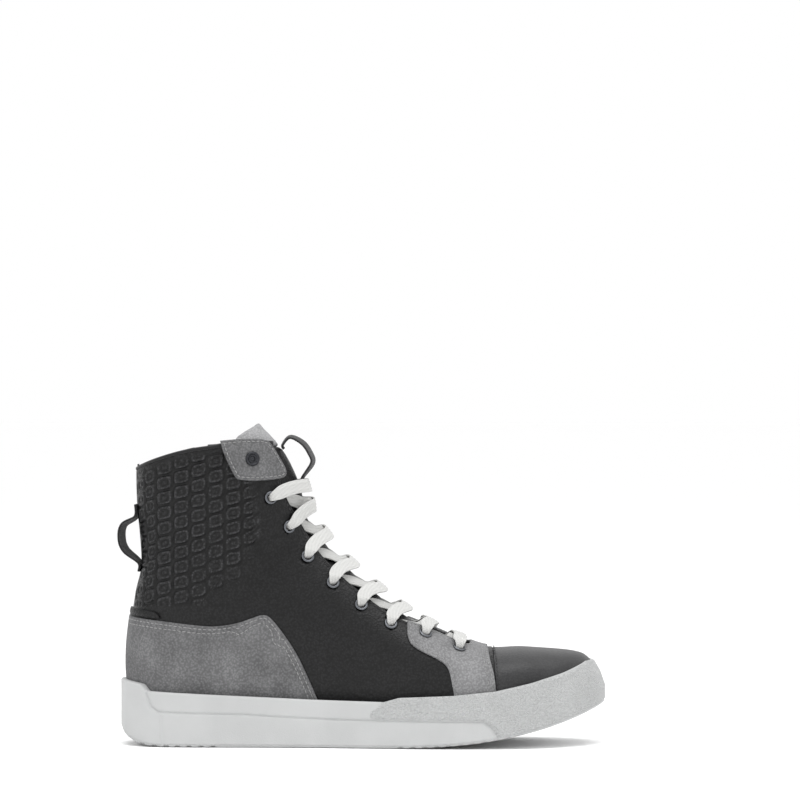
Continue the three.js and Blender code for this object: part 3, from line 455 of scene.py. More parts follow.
def leather(name, colour, roughness, grain, depth, variation, pebble_shading=0.2, embossed=False):
    """Leather: a pebbled grain over fine pores, with a slightly uneven dye and gloss, painted shade between the
    pebbles and painted highlight on their middles.
    """
    material, shader = new_material(name, colour, roughness)
    place = add_node(material, "TexCoord").outputs["Object"]
    pebble = add_node(material, "TexVoronoi", [(place, "Vector")], feature="SMOOTH_F1",
                      Scale=1 / (grain * MM), Smoothness=0.6).outputs["Distance"]
    pores = add_node(material, "TexNoise", [(place, "Vector")],
                     Scale=1 / (0.45 * grain * MM), Detail=4.0).outputs["Fac"]
    dye = add_node(material, "TexNoise", [(place, "Vector")], Scale=55.0, Detail=5.0).outputs["Fac"]
    height = add_node(material, "Math", [(pebble, 0), (pores, 1)], operation="MULTIPLY_ADD")
    height.inputs[2].default_value = 0.2
    bump = add_node(material, "Bump", [(height.outputs[0], "Height")], Distance=depth * MM, Strength=0.9)
    ramp = add_node(material, "ValToRGB", [(dye, "Fac")])
    for stop, place_on, shift in zip(ramp.color_ramp.elements, (0.3, 0.7), (-variation, variation)):
        stop.position = place_on
        stop.color = [min(1, c * (1 + shift)) for c in linear(colour)[:3]] + [1]
    gloss = add_node(material, "MapRange", [(pores, "Value")],
                     To_Min=roughness - 0.08, To_Max=roughness + 0.1)
    # Painted shade and highlight: the colour is darkened between the pebbles and lightened on their middles.
    pebble_shade = add_node(material, "MapRange", [(pebble, "Value")],
                       From_Max=0.65, To_Min=1 + 0.7 * pebble_shading, To_Max=1 - 1.4 * pebble_shading)
    tint = pebble_shade.outputs["Result"]
    if embossed:
        # Painted shade and highlight: the pressed hollows are painted darker and the raised faces and lips paler,
        # following the stored relief.
        pressed = add_node(material, "Attribute", attribute_name="relief").outputs["Fac"]
        level = add_node(material, "MapRange", [(pressed, "Value")],
                         From_Min=-EMBOSS_DEPTH, From_Max=EMBOSS_DEPTH).outputs["Result"]
        relief_light_ramp = add_node(material, "ValToRGB", [(level, "Fac")])
        stops = relief_light_ramp.color_ramp.elements
        for place_on, paler in ((0.25, 0.06), (0.47, PLAIN), (0.56, PLAIN), (0.67, 0.45), (0.86, 1.0)):
            stops.new(place_on).color = [paler] * 3 + [1]
        stops.remove(stops[0])
        stops.remove(stops[len(stops) - 1])
        # worn is the grain's colour times the painted shade and highlight of the relief.
        worn = add_node(material, "Math", [(tint, 0), (relief_light_ramp.outputs["Color"], 1)], operation="MULTIPLY")
        even = add_node(material, "Math", [(worn.outputs[0], 0)], operation="MULTIPLY")
        even.inputs[1].default_value = 1 / PLAIN
        tint = even.outputs[0]
    shade = add_node(material, "VectorMath", [(ramp.outputs["Color"], 0), (tint, 1)], operation="MULTIPLY")
    plug(material, shader, Base_Color=shade.outputs["Vector"], Roughness=gloss.outputs["Result"],
         Normal=bump.outputs["Normal"])
    return material


# Full-grain cowhide, aniline-dyed charcoal, with a fine pebble and a soft sheen. The toe
# cap's leather is waxed and smoother; its paler colour is painted light, for the cap's lit top.
charcoal_leather = leather("charcoal full-grain leather", "#171718", 0.42, 1.3, 0.6, 0.2, 0.6)
EMBOSS_DEPTH = 0.9
embossed_leather = leather("embossed charcoal leather", "#171718", 0.38, 1.3, 0.5, 0.2, 0.6, embossed=True)
# Painted light: a paler copy of the charcoal leather, for the toe cap's top, which faces the overhead softbox.
waxed_lit_leather = leather("waxed charcoal leather with painted light", "#353536", 0.4, 1.1, 0.3, 0.12)

EYELETS = np.array([
    [-56.7, 152.5], [-45.6, 134.5], [-34.1, 116.3], [-18.5, 100.4],
    [-1.1, 87.1], [17, 75.6], [37.7, 68.2], [58.5, 59.5],
])
EYELET_REACH = [8.5, 7.5, 6.8, 6.4, 5.8, 4.6, 3.6, 3.4]  # from each eyelet to the flap's edge
PUNCH = 2.9  # radius of the hole punched for an eyelet


def beside_eyelets(distance):
    """The eyelet row moved in the side view: positive towards the tongue."""
    run = np.gradient(EYELETS, axis=0)
    run /= np.linalg.norm(run, axis=1, keepdims=True)
    return EYELETS + np.stack([-run[:, 1], run[:, 0]], 1) * np.reshape(distance, (-1, 1))


flap_edge = [(-55.5, 185.5), *beside_eyelets(EYELET_REACH), (70.5, 58.2)]
collar_line = [
    (-141, 169), (-136, 172), (-122.4, 177), (-106, 181.2), (-91.7, 182.9), (-84, 184.6), (-70, 185.4), (-55.5, 185.5),
]
low_line = [(-146, 23), (-110, 21), (-40, 20), (40, 20), (66, 22)]
vamp_seam = [(66, 22), (65, 40), (64, 60.5)]
HEEL_LOW, HEEL_HIGH = locate([(-160, 23), (-160, 169)])[:, 0]
heel_run = np.stack([np.linspace(HEEL_HIGH, HEEL_LOW, 90), np.zeros(90)], 1)


def flap_part(start):
    """The flap's edge from the collar down, or up, to the vamp seam."""
    return [p for p in flap_edge if p[0] < start] + [(start, 60.8)]


def punched(outer, first=0, over=False):
    """The holes for the eyelets, from the first one given down to the throat's last."""
    return [(spot, PUNCH) for spot in locate(EYELETS[first:], outer, over)]


# The embossing on the outer quarter: staggered, leaning rhombs, each with a smaller one
# inside it, pressed half a millimetre into the leather and fading out towards the ankle.
EMBOSS_EDGE = [
    (-60, 170), (-60, 157), (-59.7, 140.4), (-63.9, 123.8), (-73.8, 108.8), (-85.4, 96.3), (-100, 80),
]
RHOMB_ACROSS, RHOMB_UP = 10.6, 9.2
RHOMB_SLOPE = 0.22


def embossing(points, place, away):
    """The height of the embossing: faces and lips stand up, gaps and inner rings are pressed."""
    x, z = place[:, 0], place[:, 2]
    around = x - 14 * np.clip(-(points[:, 1] - 0.75) / 0.75, 0, 1)
    column = np.floor(around / RHOMB_ACROSS)
    u = around / RHOMB_ACROSS - column - 0.5
    level = (z - RHOMB_SLOPE * RHOMB_ACROSS * u) / RHOMB_UP + 0.5 * (column % 2) + 0.08 * np.sin(1.7 * column)
    row = np.floor(level)
    v = level - row - 0.5
    middle_x = (column + 0.5) * RHOMB_ACROSS + x - around
    middle_z = (row + 0.5 - 0.5 * (column % 2)) * RHOMB_UP
    size = (np.abs(u / 0.46) ** 4 + np.abs(v / 0.45) ** 4) ** 0.25
    face = np.clip((1.0 - size) / 0.13, 0, 1)
    lip = np.exp(-(((size - 0.78) / 0.11) ** 2))
    ring = np.exp(-(((size - 0.42) / 0.11) ** 2))
    edge_x = np.interp(middle_z, *np.array(EMBOSS_EDGE[::-1]).T[::-1])
    fade = np.clip((edge_x - middle_x) / 5, 0, 1) * np.clip((z - 85) / 2, 0, 1)
    fade = fade * np.clip(away / 4 - 0.2, 0, 1) * np.clip(points[:, 1] / 0.25 - 0.4, 0, 1)
    return EMBOSS_DEPTH * fade * (0.3 * face + 0.38 * lip - 0.7 * ring - 0.6 * (1 - face))


emboss_low = np.array([locate([(-146, 84)])[0, 0] - 0.3, 0.02])
emboss_high = np.array([TOP_SECTION - 0.9, 1.95])
quarter_outer, lines_outer = panel(
    "quarter_outer_leather",
    [
        (trace(low_line), []), (trace(vamp_seam, smooth=False), []),
        (trace(flap_part(64)[::-1]), [2.2]), (trace(collar_line[::-1]), []), (heel_run, []),
    ],
    embossed_leather, -2, 0, holes=punched(True), relief=embossing,
    fine=[(emboss_low, emboss_high, 0.52), ((10.0, 0.8), (emboss_low[0], 1.95), 0.56)],
)
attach(quarter_outer, "boot")
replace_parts(quarter_outer, "quarter_outer")

ZIP_TOP, ZIP_END = np.array([-102.5, 182.0]), np.array([-73.0, 51.0])
ZIP_LENGTH = float(np.linalg.norm(ZIP_END - ZIP_TOP))
zip_run = (ZIP_END - ZIP_TOP) / ZIP_LENGTH
zip_side = np.array([-zip_run[1], zip_run[0]])


def beside_zip(*spots):
    """Side-view points a distance along the zip and to its side, positive forwards."""
    return [tuple(ZIP_TOP + zip_run * along + zip_side * side) for along, side in spots]


SLOT = 4.5  # half the opening between the zip's leather edges
zip_low = beside_zip((ZIP_LENGTH + 30.5, 0))[0]
inner_front, lines_front = panel(
    "quarter_inner_front_leather",
    [
        (trace(beside_zip((0.2, SLOT), (ZIP_LENGTH, SLOT), (ZIP_LENGTH, 0.15), (ZIP_LENGTH + 30.5, 0.15)),
               False, smooth=False), []),
        (trace([zip_low, (-30, 20), (66, 22)], False, smooth=False), []),
        (trace([(66, 22), (65, 40), (64, 60.5)], False, smooth=False), []),
        (trace(flap_part(64)[::-1], False), [2.2]),
        (trace([p for p in collar_line[::-1] if p[0] > -96] + beside_zip((0.2, SLOT)), False), []),
    ],
    charcoal_leather, -2, 0, holes=punched(False),
)
inner_rear, _ = panel(
    "quarter_inner_rear_leather",
    [
        (trace([p for p in collar_line if p[0] < -104] + beside_zip((0.2, -SLOT)), False), []),
        (trace(beside_zip((0.2, -SLOT), (ZIP_LENGTH, -SLOT), (ZIP_LENGTH, -0.15), (ZIP_LENGTH + 30.5, -0.15)),
               False, smooth=False), []),
        (trace([zip_low, (-110, 20), (-146, 23)], False, smooth=False), []),
        (heel_run[::-1] + [0, -0.001], []),
    ],
    charcoal_leather, -2, 0,
)
cap_seam = [(81.8, 23), (80.4, 45), (79.6, 57), (79.3, 64)]


def toe_slope(place):
    """The cap's top lies a little lower than the last, sloping down to the toe."""
    return -1.9 * np.exp(-(((place[:, 0] - 120) / 24) ** 2)) * np.clip((place[:, 2] - 42) / 12, 0, 1)


toe_cap, lines_cap = panel(
    "toe_cap_leather",
    [
        (both_sides(cap_seam, smooth=False), [1.6]),
        (trace([(81.8, 23), (110, 29), (138, 37), (142.6, 42)], False, over=True), []),
        (trace([(142.6, 42), (138, 37), (110, 29), (81.8, 23)], True), []),
    ],
    waxed_lit_leather, -2, 0.4, edge=1.2, lift=toe_slope,
)
for piece, node in (
    (inner_front, "quarter_inner_front"), (inner_rear, "quarter_inner_rear"), (toe_cap, "toe_cap"),
):
    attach(piece, "boot")
    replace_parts(piece, node)


def dress(material, *names):
    """CAD pieces that stay as they are wear a procedural finish."""
    for name in names:
        nodes[name].data.materials.clear()
        nodes[name].data.materials.append(material)


dress(charcoal_leather, "vamp")

# ---- Grey nubuck overlays ----
# Reinforcing panels of sueded, pebbled leather, 1.4 mm thick, lapped over the quarters
# and sewn down with rows of lockstitch: the heel counter, the throat and the collar tab.

nubuck = leather("grey pebbled nubuck", "#6b6b6c", 0.75, 1.25, 0.55, 0.2, 0.24)
# Painted light: a paler copy of the grey nubuck for the throat overlay, which faces up towards the lights.
throat_lit_nubuck = leather("grey pebbled nubuck with painted light", "#7f7f80", 0.72, 1.25, 0.45, 0.14)

HEEL_OUTER = [(-27, 27), (-31, 36.9), (-39.7, 56), (-48.4, 69.1), (-57.1, 79.9), (-61.4, 81.1), (-67.5, 79.1),
              (-77, 75.6), (-88.4, 73.8), (-97.1, 73.8), (-123.2, 76.9), (-147, 79.6)]
HEEL_INNER = [(-147, 79.6), (-138, 80.5), (-126, 74), (-117, 60), (-113, 45), (-112, 26)]
heel_counter, lines_heel = panel(
    "heel_counter_nubuck",
    [
        (trace(HEEL_OUTER), [2.0, 4.6]),
        (trace(HEEL_INNER, False), [2.0, 4.6]),
        (trace([(-112, 26), (-130, 30), (-147, 33)], False, smooth=False), []),
        (trace([(-147, 33), (-100, 28), (-27, 27)], smooth=False), []),
    ],
    nubuck, -0.1, 1.7,
)
throat_front = [(81.4, 26), (81.2, 34.7), (80.1, 45), (77.2, 54), (76.7, 62)]
throat_back = [
    (26.9, 76.4), (26.9, 67), (30.7, 61), (48, 53), (52.5, 48.4), (54.2, 40.4), (55.7, 32.9), (56, 26),
]
throat_row = [tuple(p) for p in beside_eyelets(EYELET_REACH)[6:]]
throat_edge = [(26.9, 76.4), *throat_row, (64.5, 61.2), (66.3, 63), (66.5, 68)]
throat_overlay, lines_throat = panel(
    "throat_overlay_nubuck",
    [
        (both_sides(throat_front), [1.8, 4.2]),
        (trace([(81.4, 26), (68, 25), (56, 26)], False, over=True, smooth=False), []),
        (trace(throat_back[::-1], False, over=True), [1.8]),
        (np.concatenate([trace(throat_edge, False, over=True), trace(throat_edge[::-1])]), [1.8]),
        (trace(throat_back), [1.8]),
        (trace([(56, 26), (68, 25), (81.4, 26)], smooth=False), []),
    ],
    throat_lit_nubuck, -0.1, 1.7,
    holes=punched(True, 6, over=True) + punched(False, 6, over=True),
)
TAB = [(-87.5, 187.6), (-85.5, 180), (-79.3, 166.5), (-76, 162.8), (-50.5, 163.4), (-46.8, 167), (-50, 174),
       (-57, 185.6), (-61, 188.4), (-74, 188.8), (-87.5, 187.6)]
outer_tab, lines_tab = panel("outer_tab_nubuck", [(trace(TAB), [1.9])], nubuck, -0.1, 1.7)
for piece, node in (
    (heel_counter, "heel_counter"), (throat_overlay, "throat_overlay"), (outer_tab, "outer_tab"),
):
    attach(piece, "boot")
    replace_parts(piece, node)

# ---- Back strip ----
# A narrow strip of the charcoal leather, lapped over the back seam to finish the top of
# the heel counter.

backstay, _ = panel(
    "backstay_leather",
    [
        (trace([(-147, 84.2), (-128, 83.2), (-124.5, 79.6), (-124.5, 77.6), (-147, 80.2)]), []),
        (trace([(-147, 80.2), (-124.5, 77.6), (-124.5, 79.6), (-128, 83.2), (-147, 84.2)], False), []),
    ],
    charcoal_leather, -0.1, 1.7, grid=1.5,
)
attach(backstay, "boot")
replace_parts(backstay, "backstay")

# ---- Zip welt ----
# A U-shaped welt of grey leather, 1.4 mm thick and sewn round the zip's opening on the
# inner side.

WELT = 5.5
out, low_end = SLOT + WELT, ZIP_LENGTH + WELT + 2
welt, lines_welt = panel(
    "zip_welt_nubuck",
    [
        (trace(beside_zip((0.6, -out), (low_end - 3, -out), (low_end, 3 - out), (low_end, out - 3),
                          (low_end - 3, out), (3.4, out)), False, smooth=False), [1.2]),
        (trace(beside_zip((3.4, out), (2, SLOT + 0.2), (ZIP_LENGTH, SLOT + 0.2), (ZIP_LENGTH, -SLOT - 0.2),
                          (1.2, -SLOT - 0.2), (0.6, -out)), False, smooth=False), []),
    ],
    nubuck, -0.1, 1.3, grid=2,
)
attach(welt, "boot")
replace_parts(welt, "zip_welt")

# ---- Side strap ----
# A 2 mm strap of grey leather over the zip's top. Its front is sewn and snapped to the
# quarter; its free end stands off over the slider. Its stitching parts about x = FOLD,
# the rear part riding on the flap.

FOLD = -86.0
STRAP = [(-58.5, 181.6), (-84, 181.8), (-91.7, 180), (-106, 178.4), (-121.5, 174.6), (-124, 170), (-124, 153),
         (-118.5, 147.5), (-66, 150.5), (-57.5, 163.5), (-58.5, 181.6)]


def over_slider(place):
    """The strap rises in a smooth step to clear the zip's slider."""
    share = np.clip((-79.5 - place[:, 0]) / 9.5, 0, 1)
    return 3.1 * share * share * (3 - 2 * share)


strap, lines_strap = panel(
    "side_strap_nubuck", [(trace(STRAP, False), [2.0])], nubuck, 0.3, 2.3, grid=1.8, lift=over_slider,
)
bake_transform(strap)
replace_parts(strap, "strap_front", "strap_flap")

# ---- Hook and loop patches ----
# Woven nylon patches under the strap's free end, sewn down: loops on the quarter and hooks
# on the strap, so that it presses shut.


def woven(name, colour, roughness, pitch, depth, coordinates="Object", shade=0.72):
    """Cloth: two diagonal sets of fine ribs over each other, with loose fibre, and painted shade between the ribs."""
    material, shader = new_material(name, colour, roughness)
    place = add_node(material, "TexCoord").outputs[coordinates]
    unit = MM if coordinates == "Object" else 1
    ribs = []
    for turn in (0.8, -0.8):
        spun = add_node(material, "Mapping", [(place, "Vector")], Rotation=(turn, turn, turn))
        wave = add_node(material, "TexWave", [(spun.outputs["Vector"], "Vector")],
                        Scale=0.314 / (pitch * unit), Distortion=0.6, Detail=2)
        ribs.append(wave.outputs["Fac"])
    weave = add_node(material, "Math", [(ribs[0], 0), (ribs[1], 1)], operation="MAXIMUM")
    fibre = add_node(material, "TexNoise", [(place, "Vector")], Scale=1 / (0.3 * pitch * unit), Detail=3.0)
    height = add_node(material, "Math", [(fibre.outputs["Fac"], 0), (weave.outputs[0], 2)],
                      operation="MULTIPLY_ADD")
    height.inputs[1].default_value = 0.4
    bump = add_node(material, "Bump", [(height.outputs[0], "Height")], Distance=depth * MM, Strength=1.0)
    # Painted shade: the colour follows the ribs, darkened to a share shade of itself between them.
    ramp = add_node(material, "ValToRGB", [(weave.outputs[0], "Fac")])
    for stop, share in zip(ramp.color_ramp.elements, (shade, 1.0)):
        stop.color = [c * share for c in linear(colour)[:3]] + [1]
    plug(material, shader, Base_Color=ramp.outputs["Color"], Normal=bump.outputs["Normal"])
    shader.inputs["Sheen Weight"].default_value = 0.15
    return material


black_nylon = woven("black woven nylon", "#1f1f20", 0.85, 0.7, 0.18)
PATCH = [(-121, 152), (-113, 151), (-113.5, 172), (-121, 170), (-121, 152)]
for name, body, bottom, top in (("loop_patch", "boot", 0.1, 1.4), ("hook_patch", "flap", 1.9, 3.3)):
    outline = [(trace(PATCH, False, smooth=False), [])]
    patch, _ = panel(name + "_nylon", outline, black_nylon, bottom, top, grid=1.2)
    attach(patch, body)
    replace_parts(patch, name)

# ---- Stitching ----
# Bonded polyester thread in rows of lockstitch, 3 mm to the stitch, sunk in the groove that
# the needle leaves. The charcoal panels carry dark thread, the grey ones grey.


def node_group(name, inputs):
    """A geometry node group with named inputs, each a (name, socket type, value)."""
    group = bpy.data.node_groups.new(name, "GeometryNodeTree")
    group.interface.new_socket("Geometry", in_out="INPUT", socket_type="NodeSocketGeometry")
    group.interface.new_socket("Geometry", in_out="OUTPUT", socket_type="NodeSocketGeometry")
    for label, kind, value in inputs:
        socket = group.interface.new_socket(label, in_out="INPUT", socket_type=kind)
        if value is not None:
            socket.default_value = value
    return group, group.nodes.new("NodeGroupInput").outputs, group.nodes.new("NodeGroupOutput").inputs


def join_up(group, kind, links, **settings):
    """A node in a group, with properties set by name and sockets linked or set by name or number."""
    made = group.nodes.new(kind)
    for key, value in settings.items():
        setattr(made, key, value)
    for target, value in links.items():
        if isinstance(value, bpy.types.NodeSocket):
            group.links.new(value, made.inputs[target])
        else:
            made.inputs[target].default_value = value
    return made.outputs


def finish_group(group, instances, finish, result):
    """Ends a group: its instances made real and given their material."""
    real = join_up(group, "GeometryNodeRealizeInstances", {"Geometry": instances})[0]
    coated = join_up(group, "GeometryNodeSetMaterial", {"Geometry": real, "Material": finish})[0]
    group.links.new(coated, result[0])


def grown(name, points, edges, group, values, body="boot", facing=()):
    """Runs a node group on points and edges, in millimetres, and keeps the result as a plain mesh.
    Facing gives each point a direction, for the group to read."""
    seed = bpy.data.meshes.new(name)
    seed.from_pydata([tuple(p) for p in np.asarray(points) * MM + ORIGIN], edges, [])
    if len(facing):
        seed.attributes.new("facing", "FLOAT_VECTOR", "POINT").data.foreach_set("vector", np.ravel(facing))
    made = bpy.data.objects.new(name, seed)
    scene.collection.objects.link(made)
    modifier = made.modifiers.new("build", "NODES")
    modifier.node_group = group
    for item in group.interface.items_tree:
        if item.in_out == "INPUT" and item.name in values:
            modifier[item.identifier] = values[item.name]
    bpy.context.view_layer.update()
    mesh = bpy.data.meshes.new_from_object(made.evaluated_get(bpy.context.evaluated_depsgraph_get()))
    made.modifiers.remove(modifier)
    made.data = mesh
    mesh.shade_smooth()
    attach(made, body)
    return made


def stitch_group():
    """Beads of thread at an even spacing along a line, each turned a little at random."""
    group, given, result = node_group("lockstitch", [
        ("Spacing", "NodeSocketFloat", 0.003), ("Stitch Length", "NodeSocketFloat", 0.0024),
        ("Thread Radius", "NodeSocketFloat", 0.0003), ("Thread", "NodeSocketMaterial", None),
    ])
    path = join_up(group, "GeometryNodeMeshToCurve", {"Mesh": given["Geometry"]})[0]
    spots = join_up(group, "GeometryNodeCurveToPoints", {"Curve": path, "Length": given["Spacing"]},
                    mode="LENGTH")
    half = join_up(group, "ShaderNodeMath", {0: given["Stitch Length"], 1: 0.5}, operation="MULTIPLY")[0]
    size = join_up(group, "ShaderNodeCombineXYZ",
                   {"X": given["Thread Radius"], "Y": given["Thread Radius"], "Z": half})[0]
    bead = join_up(group, "GeometryNodeMeshUVSphere", {"Segments": 6, "Rings": 5, "Radius": 1.0})[0]
    tilt = join_up(group, "FunctionNodeRandomValue", {0: (-0.05, -0.05, 0), 1: (0.05, 0.05, 6.28), "Seed": 7},
                   data_type="FLOAT_VECTOR")[0]
    rows = join_up(group, "GeometryNodeInstanceOnPoints", {
        "Points": spots["Points"], "Instance": bead, "Rotation": spots["Rotation"], "Scale": size,
    })[0]
    turned_rows = join_up(group, "GeometryNodeRotateInstances", {"Instances": rows, "Rotation": tilt})[0]
    finish_group(group, turned_rows, given["Thread"], result)
    return group


lockstitch = stitch_group()


def sew(name, rows, thread, body):
    """Rows of stitches. Each row is a (t, phi) line, the depth it lies at and an optional lift."""
    points, edges, start = [], [], 0
    for line, depth, lift in rows:
        if len(line) < 3:
            continue
        place = skin(*line.T, depth - 0.1 + (0 if lift is None else lift(bare_skin(*line.T))))
        points.append(place)
        edges += [(start + k, start + k + 1) for k in range(len(place) - 1)]
        start += len(place)
    made = grown(name, np.concatenate(points), edges, lockstitch, {"Thread": thread}, body)


def yarn(name, colour):
    """Twisted thread: a fine diagonal ply with a slight sheen."""
    return woven(name, colour, 0.6, 0.35, 0.06)


grey_thread = yarn("grey bonded thread", "#8f8f8f")
dark_thread = yarn("charcoal bonded thread", "#2b2b2c")
sew("stitching_grey", [(line, 1.7, None) for line in lines_heel + lines_throat + lines_tab]
    + [(line, 1.3, None) for line in lines_welt], grey_thread, "boot")
sew("stitching_charcoal", [(line, 0, None) for line in lines_outer + lines_front]
    + [(lines_cap[0], 0.5, None)], dark_thread, "boot")
strap_line = lines_strap[0]
strap_x = bare_skin(*strap_line.T)[:, 0]


def stretches(line, keep):
    """The unbroken stretches of a line where keep is true."""
    cuts = np.flatnonzero(np.diff(keep.astype(int))) + 1
    return [part for part, flag in zip(np.split(line, cuts), np.split(keep, cuts)) if flag[0]]


sew("stitching_strap_front", [(part, 2.3, over_slider) for part in stretches(strap_line, strap_x > FOLD + 5)],
    grey_thread, "boot")
sew("stitching_strap_flap", [(part, 2.3, over_slider) for part in stretches(strap_line, strap_x < FOLD - 5)],
    grey_thread, "flap")

# ---- Tongue ----
# A padded tongue of charcoal leather over foam, sewn in at the throat, with a pale grey
# leather patch on the end that stands above the collar.

TONGUE_TOP, TONGUE_THICK = -5.9, 3.4
tongue_back = [(-76, 182), *[tuple(p) for p in beside_eyelets(-14)[:7]], (64, 53), (75, 57), (75.5, 62)]


def puffed(points, place, away):
    """Foam swells between the seams, and the lacing presses the instep out between the flaps."""
    middle = np.exp(-(((points[:, 1] - math.pi) / 0.34) ** 2))
    return 0.9 * (1 - np.exp(-away / 5)) - 0.5 + 1.2 * middle * np.clip((15.6 - points[:, 0]) / 1.6, 0, 1)


tongue, _ = panel(
    "tongue_padded",
    [
        (both_sides([(-76, 182), (-52, 187.2), (-44, 187)], smooth=False), []),
        (trace(tongue_back, False, over=True), []),
        (trace(tongue_back[::-1]), []),
    ],
    charcoal_leather, TONGUE_TOP - TONGUE_THICK, TONGUE_TOP, edge=1.7, relief=puffed,
)
pale_nubuck = leather("pale grey pebbled leather", "#969697", 0.68, 1.0, 0.3, 0.08)
crown = [(-76.4, 182.8), (-77.6, 187.4), (-73, 192), (-55.6, 203.6)]
tongue_top, _ = panel(
    "tongue_top_leather",
    [
        (both_sides(crown, smooth=False), [2.0]),
        (trace([(-76.4, 182.8), (-52, 188), (-44, 187.8)], False, over=True, smooth=False), []),
        (trace([(-44, 187.8), (-52, 188), (-76.4, 182.8)], smooth=False), []),
    ],
    pale_nubuck, TONGUE_TOP - TONGUE_THICK, TONGUE_TOP + 0.3, edge=1.5, relief=puffed,
    lift=lambda place: -3.6 * np.clip((place[:, 2] - 187) / 12, 0, 1),
)
for piece, node, slot in ((tongue, "tongue", "dark_leather"), (tongue_top, "tongue_top", "pale_grey_leather")):
    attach(piece, "boot")
    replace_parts(piece, node)

# ---- Webbing pull loops ----
# Ribbed nylon webbing folded into a loop, one at the heel and one at the tongue, with its
# ends sewn down.


def curve_through(points, step=0.8):
    """A smooth line through points at an even step."""
    points = np.asarray(points, float)
    fine = spline(points, np.linspace(0, len(points) - 1, 40 * len(points)))
    run = np.concatenate([[0], np.cumsum(np.linalg.norm(np.diff(fine, axis=0), axis=1))])
    even = np.linspace(0, run[-1], max(4, int(run[-1] / step)))
    return np.stack([np.interp(even, run, fine[:, k]) for k in range(fine.shape[1])], 1)


def loft_faces(count, sides):
    """The faces of a closed profile carried through a count of stations, with both ends capped."""
    faces = []
    for i in range(count - 1):
        for j in range(sides):
            k = (j + 1) % sides
            faces.append((i * sides + j, i * sides + k, (i + 1) * sides + k, (i + 1) * sides + j))
    return faces + [tuple(range(sides))[::-1], tuple(range((count - 1) * sides, count * sides))]


def sweep(name, centres, across, profiles, material):
    """A closed profile swept along centres. Profiles are (width, rise) points at each centre."""
    count, sides = len(centres), profiles.shape[1]
    run = np.gradient(centres, axis=0)
    run /= np.linalg.norm(run, axis=1, keepdims=True)
    across = across - run * np.sum(across * run, axis=1, keepdims=True)
    across /= np.linalg.norm(across, axis=1, keepdims=True)
    rise = np.cross(run, across)
    points = centres[:, None] + across[:, None] * profiles[..., :1] + rise[:, None] * profiles[..., 1:]
    made = make_object(name, points.reshape(-1, 3), loft_faces(count, sides), material)
    along = np.concatenate([[0], np.cumsum(np.linalg.norm(np.diff(centres, axis=0), axis=1))])
    layer = made.data.uv_layers.new(name="weave")
    for polygon in made.data.polygons:
        for loop_index, vertex in zip(polygon.loop_indices, polygon.vertices):
            i, j = divmod(vertex, sides)
            layer.data[loop_index].uv = (profiles[i, j, 0] + 50, along[i])
    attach(made, "boot")
    return made


def flat_profile(width, thickness, ribs, depth=0.12, sides=44):
    """A flat band's section with rounded edges and ribs that run lengthwise."""
    turn = np.linspace(0, 2 * math.pi, sides, endpoint=False)
    c, s = np.cos(turn), np.sin(turn)
    x = np.sign(c) * np.abs(c) ** 0.75 * width / 2
    rib = depth * (0.5 - 0.5 * np.cos(2 * math.pi * ribs * x / width))
    z = np.sign(s) * np.abs(s) ** 0.45 * (thickness / 2 - rib)
    return np.stack([x, z], 1)


webbing = woven("charcoal nylon webbing", "#232324", 0.8, 1.1, 0.3, "UV")


def on_line(phi, t, depth):
    """A side-view point on the boot's middle plane, a depth off the skin."""
    point = bare_skin(np.array([t]), np.array([phi])) + skin_normal(np.array([t]), np.array([phi])) * depth
    return point[0, 0], point[0, 2]


def pull_loop(name, node, route, width):
    """A loop of webbing along a side-view route, twisted a little in the middle."""
    line = curve_through(route)
    centres = np.stack([line[:, 0], np.zeros(len(line)), line[:, 1]], 1)
    run = np.gradient(centres, axis=0)
    run /= np.linalg.norm(run, axis=1, keepdims=True)
    lean = (0.16 * np.sin(math.pi * np.linspace(0, 1, len(line))))[:, None]
    across = np.array([0.0, 1.0, 0.0]) * np.cos(lean) + np.cross(run, [0.0, 1.0, 0.0]) * np.sin(lean)
    profile = np.tile(flat_profile(width, 1.8, 9), (len(line), 1, 1))
    made = sweep(name, centres, across, profile, webbing)
    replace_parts(made, node)


pull_loop("tongue_pull_loop", "tongue_loop", [
    on_line(math.pi, 15.2, -4.6), on_line(math.pi, 15.6, -4.2), (-45.5, 189.6), (-37.7, 186), (-33, 179.5),
    (-31.6, 173.4), on_line(math.pi, 12.7, -1.6), on_line(math.pi, 12.3, -2.2),
], 14)
pull_loop("heel_webbing_loop", "heel_pull_loop", [
    on_line(0, 15.1, 1.0), on_line(0, 14.85, 1.2), (-148.6, 135), (-150, 127), (-147.4, 119.6),
    on_line(0, 14, 1.2), on_line(0, 13.75, 1.0),
], 20)

# ---- Eyelets and snaps ----
# Rolled steel eyelets with a gunmetal finish through the leather, and two snap caps
# pressed over their posts. Every one is turned from a single stamped profile.


def seat(x, z, outer, depth):
    """The place of a fitting on the skin and the way it faces."""
    spot = locate([(x, z)], outer)
    return skin(*spot.T, depth)[0], skin_normal(*spot.T)[0]


def brushed_metal(name, colour, roughness):
    """Plated steel: fine random scratches, slightly uneven polish."""
    material, shader = new_material(name, colour, roughness)
    place = add_node(material, "TexCoord").outputs["Object"]
    wear = add_node(material, "TexNoise", [(place, "Vector")], Scale=900.0, Detail=4.0).outputs["Fac"]
    polish = add_node(material, "MapRange", [(wear, "Value")],
                      To_Min=roughness - 0.1, To_Max=roughness + 0.16)
    bump = add_node(material, "Bump", [(wear, "Height")], Distance=0.02 * MM, Strength=0.5)
    tone = add_node(material, "ValToRGB", [(wear, "Fac")])
    for stop, share in zip(tone.color_ramp.elements, (0.8, 1.0)):
        stop.color = [c * share for c in linear(colour)[:3]] + [1]
    plug(material, shader, Base_Color=tone.outputs["Color"], Roughness=polish.outputs["Result"],
         Normal=bump.outputs["Normal"])
    shader.inputs["Metallic"].default_value = 1.0
    return material


gunmetal = brushed_metal("gunmetal plated steel", "#6a6c70", 0.34)


